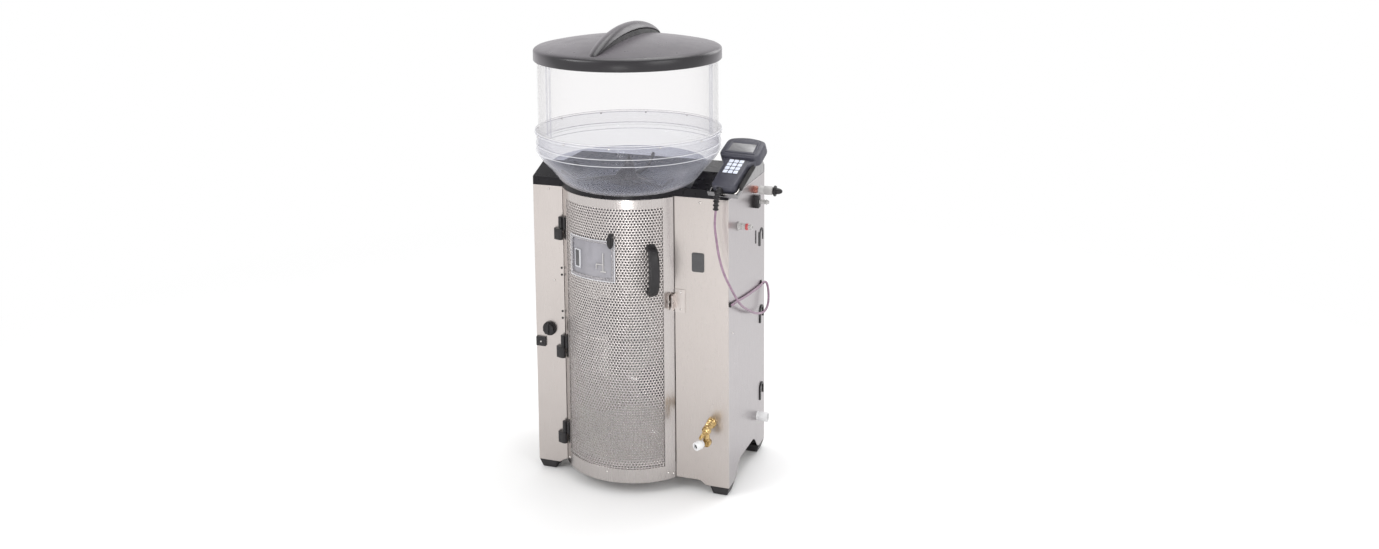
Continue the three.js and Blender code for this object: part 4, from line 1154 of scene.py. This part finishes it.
piece("lid_dome", lid_dome(), LID, "lid", stands_for=["hopper_lid"])
# painted shade: a black block in the grip's undercut
piece("grip_painted_shade", lid_grip(pocket=True), BLACK, "lid")
grip_piece = piece("lid_grip", lid_grip(), LID, "lid")
smoother = grip_piece.modifiers.new("soft", "SUBSURF")
smoother.levels = 1
smoother.render_levels = 1


# ---- fittings on the right side
def on_side(shape, y, z):
    """Puts a shape drawn facing the viewer on the right side."""
    return moved(shape, Matrix.Translation((SIDE, y, z)) @ FACING_RIGHT)


def turned_fitting(name, profile, y, z, finish, sides=40, stands_for=()):
    piece(name, on_side(lathe(profile, sides), y, z), finish, stands_for=stands_for)


def inlet():
    """Water inlet: a union, a filter cup, and a black flange with a bullet tip."""
    y, z = 250, 848
    union = merged(hexagon(21, 0, 9, 1), lathe([(0, 8), (9, 8), (9, 15), (0, 15)], 32))
    piece("inlet_union", on_side(union, y, z), RED_BRASS, stands_for=["inlet_filter"])
    cup = [(0, 14), (10, 14), (13, 17), (13, 30), (12.4, 31), (12.4, 33)]
    cup += [(13, 34), (13, 54), (11, 58), (0, 58)]
    turned_fitting("inlet_cup", cup, y, z, GREY)
    tip = [(0, 57), (10, 57), (10, 61), (15, 61.5), (16, 62.5), (16, 66), (15, 67), (9.4, 67.5)]
    tip += [(9.2, 72), (8, 78), (6, 83), (3.4, 85.7), (0, 85.7)]
    turned_fitting("inlet_tip", tip, y, z, BLACK)


def valve():
    """A square black valve with a ribbed hose barb."""
    block = pillow(rectangle(240, 262, 793, 831, 3), 0, 17, 0.4, 2.2)
    piece("valve_block", on_side(block, 0, 0), BLACK, stands_for=["inlet_valve"])
    barb = [(0, 15), (6, 15), (6, 22)]
    for k in range(3):
        start = 22 + 7 * k
        barb += [(7.6, start + 1), (7.6, start + 2.5), (5, start + 6.5)]
    barb += [(5, 45), (0, 45)]
    turned_fitting("valve_barb", barb, 251, 812, GREY, 32)


def coupling():
    """A grey quick coupling with a red ring."""
    y, z = 94, 778
    body = [(0, 0), (13, 0), (13, 4), (10, 5.5), (10, 14), (8.5, 15), (8.5, 22), (0, 22)]
    turned_fitting("coupling_body", body, y, z, GREY, stands_for=["hose_coupling"])
    ring = [(0, 22), (8, 22), (9.6, 23), (9.6, 28.5), (8.5, 29.5), (0, 29.5)]
    turned_fitting("coupling_ring", ring, y, z, RED)
    tail = [(0, 29), (7, 29), (7, 36), (8, 37), (8, 40), (6.4, 42), (4, 42), (4, 36), (0, 36)]
    turned_fitting("coupling_tail", tail, y, z, GREY)


def overflow():
    """A white open pipe with a stepped outside."""
    pipe = [(0, 0), (14, 0), (14, 2), (13, 3), (13, 9), (14, 10), (14, 32.5), (13, 34), (11.6, 34)]
    pipe += [(11, 33), (11, 6), (0, 6)]
    turned_fitting("overflow_stub", pipe, 284, 130, WHITE, 44, ["overflow_pipe"])


def slots():
    """Black fills in the panel's slots, painted shade for the dark openings: two upright ones, and one
    shaped like the hooks.
    """
    sunk, proud = -2.4, 1.0
    upright = [
        on_side(pillow(rectangle(-3.4, 3.4, -half, half, 3), sunk, proud, 0.2, 0.5), y, z)
        for y, z, half in ((268.5, 697.5, 20), (301.5, 682.5, 21))
    ]
    piece("slot_painted_shade", merged(*upright), BLACK)
    hook = [(308, -26), (317, -26), *arc(328, 8, 11, 180, 0)]
    hook += [(339, -12), (346, -12), *arc(327, 8, 19, 0, 180)]
    piece("hook_slot_painted_shade", on_side(prism(hook, sunk, proud), 0, 684), BLACK)


inlet()
valve()
coupling()
overflow()
slots()
piece("side_screw", on_side(screw(2.6), 38, 480), POLISHED)


# ---- handheld terminal
GLAND_X = -8
BODY_TOP = 28
HEAD_TOP = 38


def on_terminal(shape):
    return moved(shape, TERMINAL_MATRIX)


def terminal_body():
    """A grip, a wide head for the screen, and a neck that joins them."""
    outline = rounded([(-35, 1), (35, 1), (38, 132), (-38, 132)], [16, 16, 2, 2], 8)
    corners = [(-62, 122), (62, 122), (60, 192), (38, 201), (0, 206), (-38, 201), (-60, 192)]
    head = rounded(corners, [18, 18, 16, 24, 40, 24, 16], 8)
    body = pillow(outline, 3, BODY_TOP, 5, 4, 5)
    top = pillow(head, 2, HEAD_TOP, 8, 6, 6)
    collar = rounded([(-38, 96), (38, 96), (54, 128), (-54, 128)], [6, 6, 4, 4], 5)
    neck = pillow(collar, 5, BODY_TOP - 1, 4, 4, 4)
    return merged(body, top, neck)


def bezel_frame(outer, inner, low, high):
    """A raised frame whose inside slopes down to the screen."""
    levels = [
        (outer, low), (outer, high - 0.6), (shrunk(outer, 0.8), high),
        (shrunk(outer, 2.6), high), (inner, low + 1.0), (inner, low),
    ]
    loops = [[(x, y, z) for x, y in outline] for outline, z in levels]
    points, faces = loft(loops, capped=False)
    count = len(outer)
    last = (len(loops) - 1) * count
    for i in range(count):
        j = (i + 1) % count
        faces.append([i, j, last + j, last + i])
    return points, faces


def terminal():
    """The handheld terminal: case, raised bezel, display, keypad foil and twelve keys."""
    case = on_terminal(terminal_body())
    piece("terminal_case", case, TERMINAL_BLUE, "terminal", stands_for=["terminal_shell"])
    outer = rounded([(-48, 134), (48, 134), (45, 188), (-45, 188)], 4, 5)
    inner = rounded([(-39, 142), (39, 142), (37, 176), (-37, 176)], 2, 5)
    frame_shape = bezel_frame(outer, inner, HEAD_TOP - 0.5, HEAD_TOP + 1.6)
    piece("terminal_bezel", on_terminal(frame_shape), TERMINAL_BLUE, "terminal")
    glass = pillow(shrunk(outer, 3), HEAD_TOP - 0.6, HEAD_TOP + 0.35, 0.1, 0.1, 1)
    piece("terminal_glass", on_terminal(glass), GLASS, "terminal", stands_for=["terminal_screen"])
    foil = pillow(rectangle(-26.5, 26.5, 54.5, 118.5, 3), BODY_TOP - 0.5, BODY_TOP + 0.5, 0.1, 0.3, 2)
    foil = on_terminal(foil)
    piece("keypad_foil", foil, DARK_GREY, "terminal", ["terminal_keypad"])
    key = pillow(rectangle(-6.6, 6.6, -6, 6, 2, 4), BODY_TOP, BODY_TOP + 2.0, 0.1, 0.9, 3)
    keys = [shifted(key, x, y) for x in (-16, 0, 16) for y in (64, 79, 94, 109)]
    piece("terminal_keys", on_terminal(merged(*keys)), KEYS, "terminal")


BOOT_END = Vector((278, -44, 858))


def cable_boot():
    """A ribbed sleeve from the terminal's gland, drooping under its own weight."""
    start = [TERMINAL_MATRIX @ Vector((GLAND_X, y, 15)) for y in (6, -8, -16)]
    path = smooth_path([*start, BOOT_END + Vector((2, -1, 24)), BOOT_END], 14)
    radii = []
    for k in range(len(path)):
        t = k / (len(path) - 1)
        core = 11 - 2 * t if t < 0.34 else 8.0 - 3.6 * (t - 0.34)
        ribbed = 2.8 * max(0.0, math.sin((t - 0.36) * math.pi * 17)) if t > 0.36 else 0.0
        radii.append(core + ribbed)
    return tube(path, radii, 24)


def terminal_cable():
    """Down the front corner, along the side in a sagging loop, round behind, and back into the panel."""
    hanging = [
        BOOT_END + Vector((0.6, 0, 9)), BOOT_END + Vector((0, 0, -1.5)), (275, -43, 814), (279, -41, 770),
        (286, -40, 725), (300, -42, 680), (316, -30, 636),
    ]
    sagging = [(320, 45, 566), (320, 135, 516), (320, 215, 481), (320, 290, 462), (320, 332, 472)]
    returning = [
        (318, 344, 505), (312, 346, 532), (306.5, 330, 540), (305, 290, 538.5), (305, 160, 551),
        (305, 60, 565), (306.5, 30, 568.5), (306.5, 20, 569.5), (304, 16.5, 570), (300.8, 16, 570),
    ]
    return tube(smooth_path(hanging + sagging + returning, 7), 3.5, 14)


def bent_cable():
    """The terminal's cable, on no body, with its placement baked into its mesh."""
    made = piece("terminal_lead", terminal_cable(), CABLE, None, stands_for=["terminal_cable"])
    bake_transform(made)


def cradle_painted_shadow():
    """Black strips beside the terminal in its steel tray, painted shadow for the gap under it."""
    right = pillow(rectangle(42.4, 48.4, 20, 122, 1.5), 3, 18, 0.4, 1.2)
    left = pillow(rectangle(-43.6, -41.4, 16, 96, 1.0), 5, 13, 0.3, 0.9)
    return on_terminal(merged(right, left))


def cradle_lip():
    """Rolled steel edge that hugs the terminal's lower end and its right side."""
    path = [(-40, 14, 7), (-39, 0, 7), (-30, -4.5, 7), (25, -4.5, 7)]
    path += [(38, 2, 7), (41, 16, 7), (42, 60, 8), (42, 112, 9)]
    return on_terminal(tube(smooth_path(path, 6), 2.3, 14))


terminal()
piece("cradle_lip", cradle_lip(), POLISHED)
# painted shadow: black strips in the gap between the terminal and its tray
piece("cradle_painted_shadow", cradle_painted_shadow(), PAINTED_SHADOW_BLACK)
piece("boot_sleeve", cable_boot(), BLACK, "terminal", stands_for=["cable_boot"])
bent_cable()
grommet = [(4.2, 0), (8, 0), (8, 1.6), (6.6, 3.2), (4.2, 3.2)]
turned_fitting("cable_grommet", grommet, 16, 570, BLACK, 28)
clip = pillow(rectangle(-6, 6, -9, 9, 3), 0, 1.6, 0.1, 0.6)
clip_arch = tube(smooth_path([(-5, 0, 0.5), (-5, 0, 7), (0, 0, 10), (5, 0, 7), (5, 0, 0.5)], 6), 1.2, 10)
piece("cable_clip", on_side(merged(clip, clip_arch), 322, 539), BLACK)


# ---- studio
def studio():
    """White surroundings, dimmer as light than as seen by the camera, a pale floor, and soft lamps."""
    world = bpy.data.worlds.new("studio")
    world.use_nodes = True
    tree = world.node_tree
    backdrop = tree.nodes["Background"]
    backdrop.inputs["Color"].default_value = (1, 1, 1, 1)
    path = tree.nodes.new("ShaderNodeLightPath")
    strength = tree.nodes.new("ShaderNodeMapRange")
    strength.inputs["To Min"].default_value = 0.85
    strength.inputs["To Max"].default_value = 1.0
    tree.links.new(path.outputs["Is Camera Ray"], strength.inputs["Value"])
    tree.links.new(strength.outputs[0], backdrop.inputs["Strength"])
    bpy.context.scene.world = world
    mesh = bpy.data.meshes.new("studio_floor")
    half = 14.0
    corners = [(-half, -half, 0), (half, -half, 0), (half, half, 0), (-half, half, 0)]
    mesh.from_pydata(corners, [], [[0, 1, 2, 3]])
    mesh.materials.append(FLOOR)
    in_scene("studio_floor", mesh)
    soft_light("key", (-2.2, -2.6, 2.6), 1.8, 55)
    soft_light("fill", (2.9, -1.6, 1.8), 1.8, 26)
    soft_light("top", (0.2, 0.4, 3.4), 2.2, 45)
    soft_light("back", (1.5, 2.8, 2.2), 1.8, 25)
    soft_light("strip", (0.42, -2.15, 0.40), 0.34, 1.5, height=0.76, target=(0.42, 0, 0.40), spread=70)


def soft_light(name, place, size, power, height=None, target=(0, 0, 0.7), spread=180):
    """A lamp panel in metres and watts that faces its target and isn't seen itself."""
    lamp = bpy.data.lights.new(name, "AREA")
    lamp.shape = "RECTANGLE"
    lamp.size = size
    lamp.size_y = height or size
    lamp.energy = power
    lamp.spread = math.radians(spread)
    lit = in_scene(name, lamp)
    lit.location = place
    lit.visible_camera = False
    aim = Vector(target) - Vector(place)
    lit.rotation_mode = "QUATERNION"
    lit.rotation_quaternion = aim.to_track_quat("-Z", "Y")


def camera():
    """The photographer stands to the right, a little above the lid, looking down and to the left."""
    yaw, pitch, roll = (math.radians(v) for v in (20.329, 8.401, -0.51))
    ahead = Vector((-math.sin(yaw) * math.cos(pitch), math.cos(yaw) * math.cos(pitch), -math.sin(pitch)))
    level = Vector((math.cos(yaw), math.sin(yaw), 0))
    above = level.cross(ahead)
    right = level * math.cos(roll) + above * math.sin(roll)
    up = above * math.cos(roll) - level * math.sin(roll)
    # The lens is offset from the middle of the film. That is made by leaning the axis, not by the camera's
    # own shift, so the camera looks straight ahead once it leaves its holder and is placed somewhere else.
    film_width = 36
    lens = 34.75
    offset_right, offset_down = 0.0148, 0.1592
    axis = ahead + (offset_right * right - offset_down * up) * film_width / lens
    data = bpy.data.cameras.new("camera")
    data.sensor_width = film_width
    data.lens = lens * axis.length
    made = in_scene("camera", data)
    holder = in_scene("camera_holder", None)
    place = TO_ROW @ Vector((1399, -3428, 1817))
    made.parent = holder
    made.matrix_parent_inverse = from_columns(right, up, -axis.normalized(), place)
    bpy.context.scene.camera = made


studio()
camera()
scene = bpy.context.scene
scene.view_settings.view_transform = "Standard"
scene.cycles.transparent_max_bounces = 32
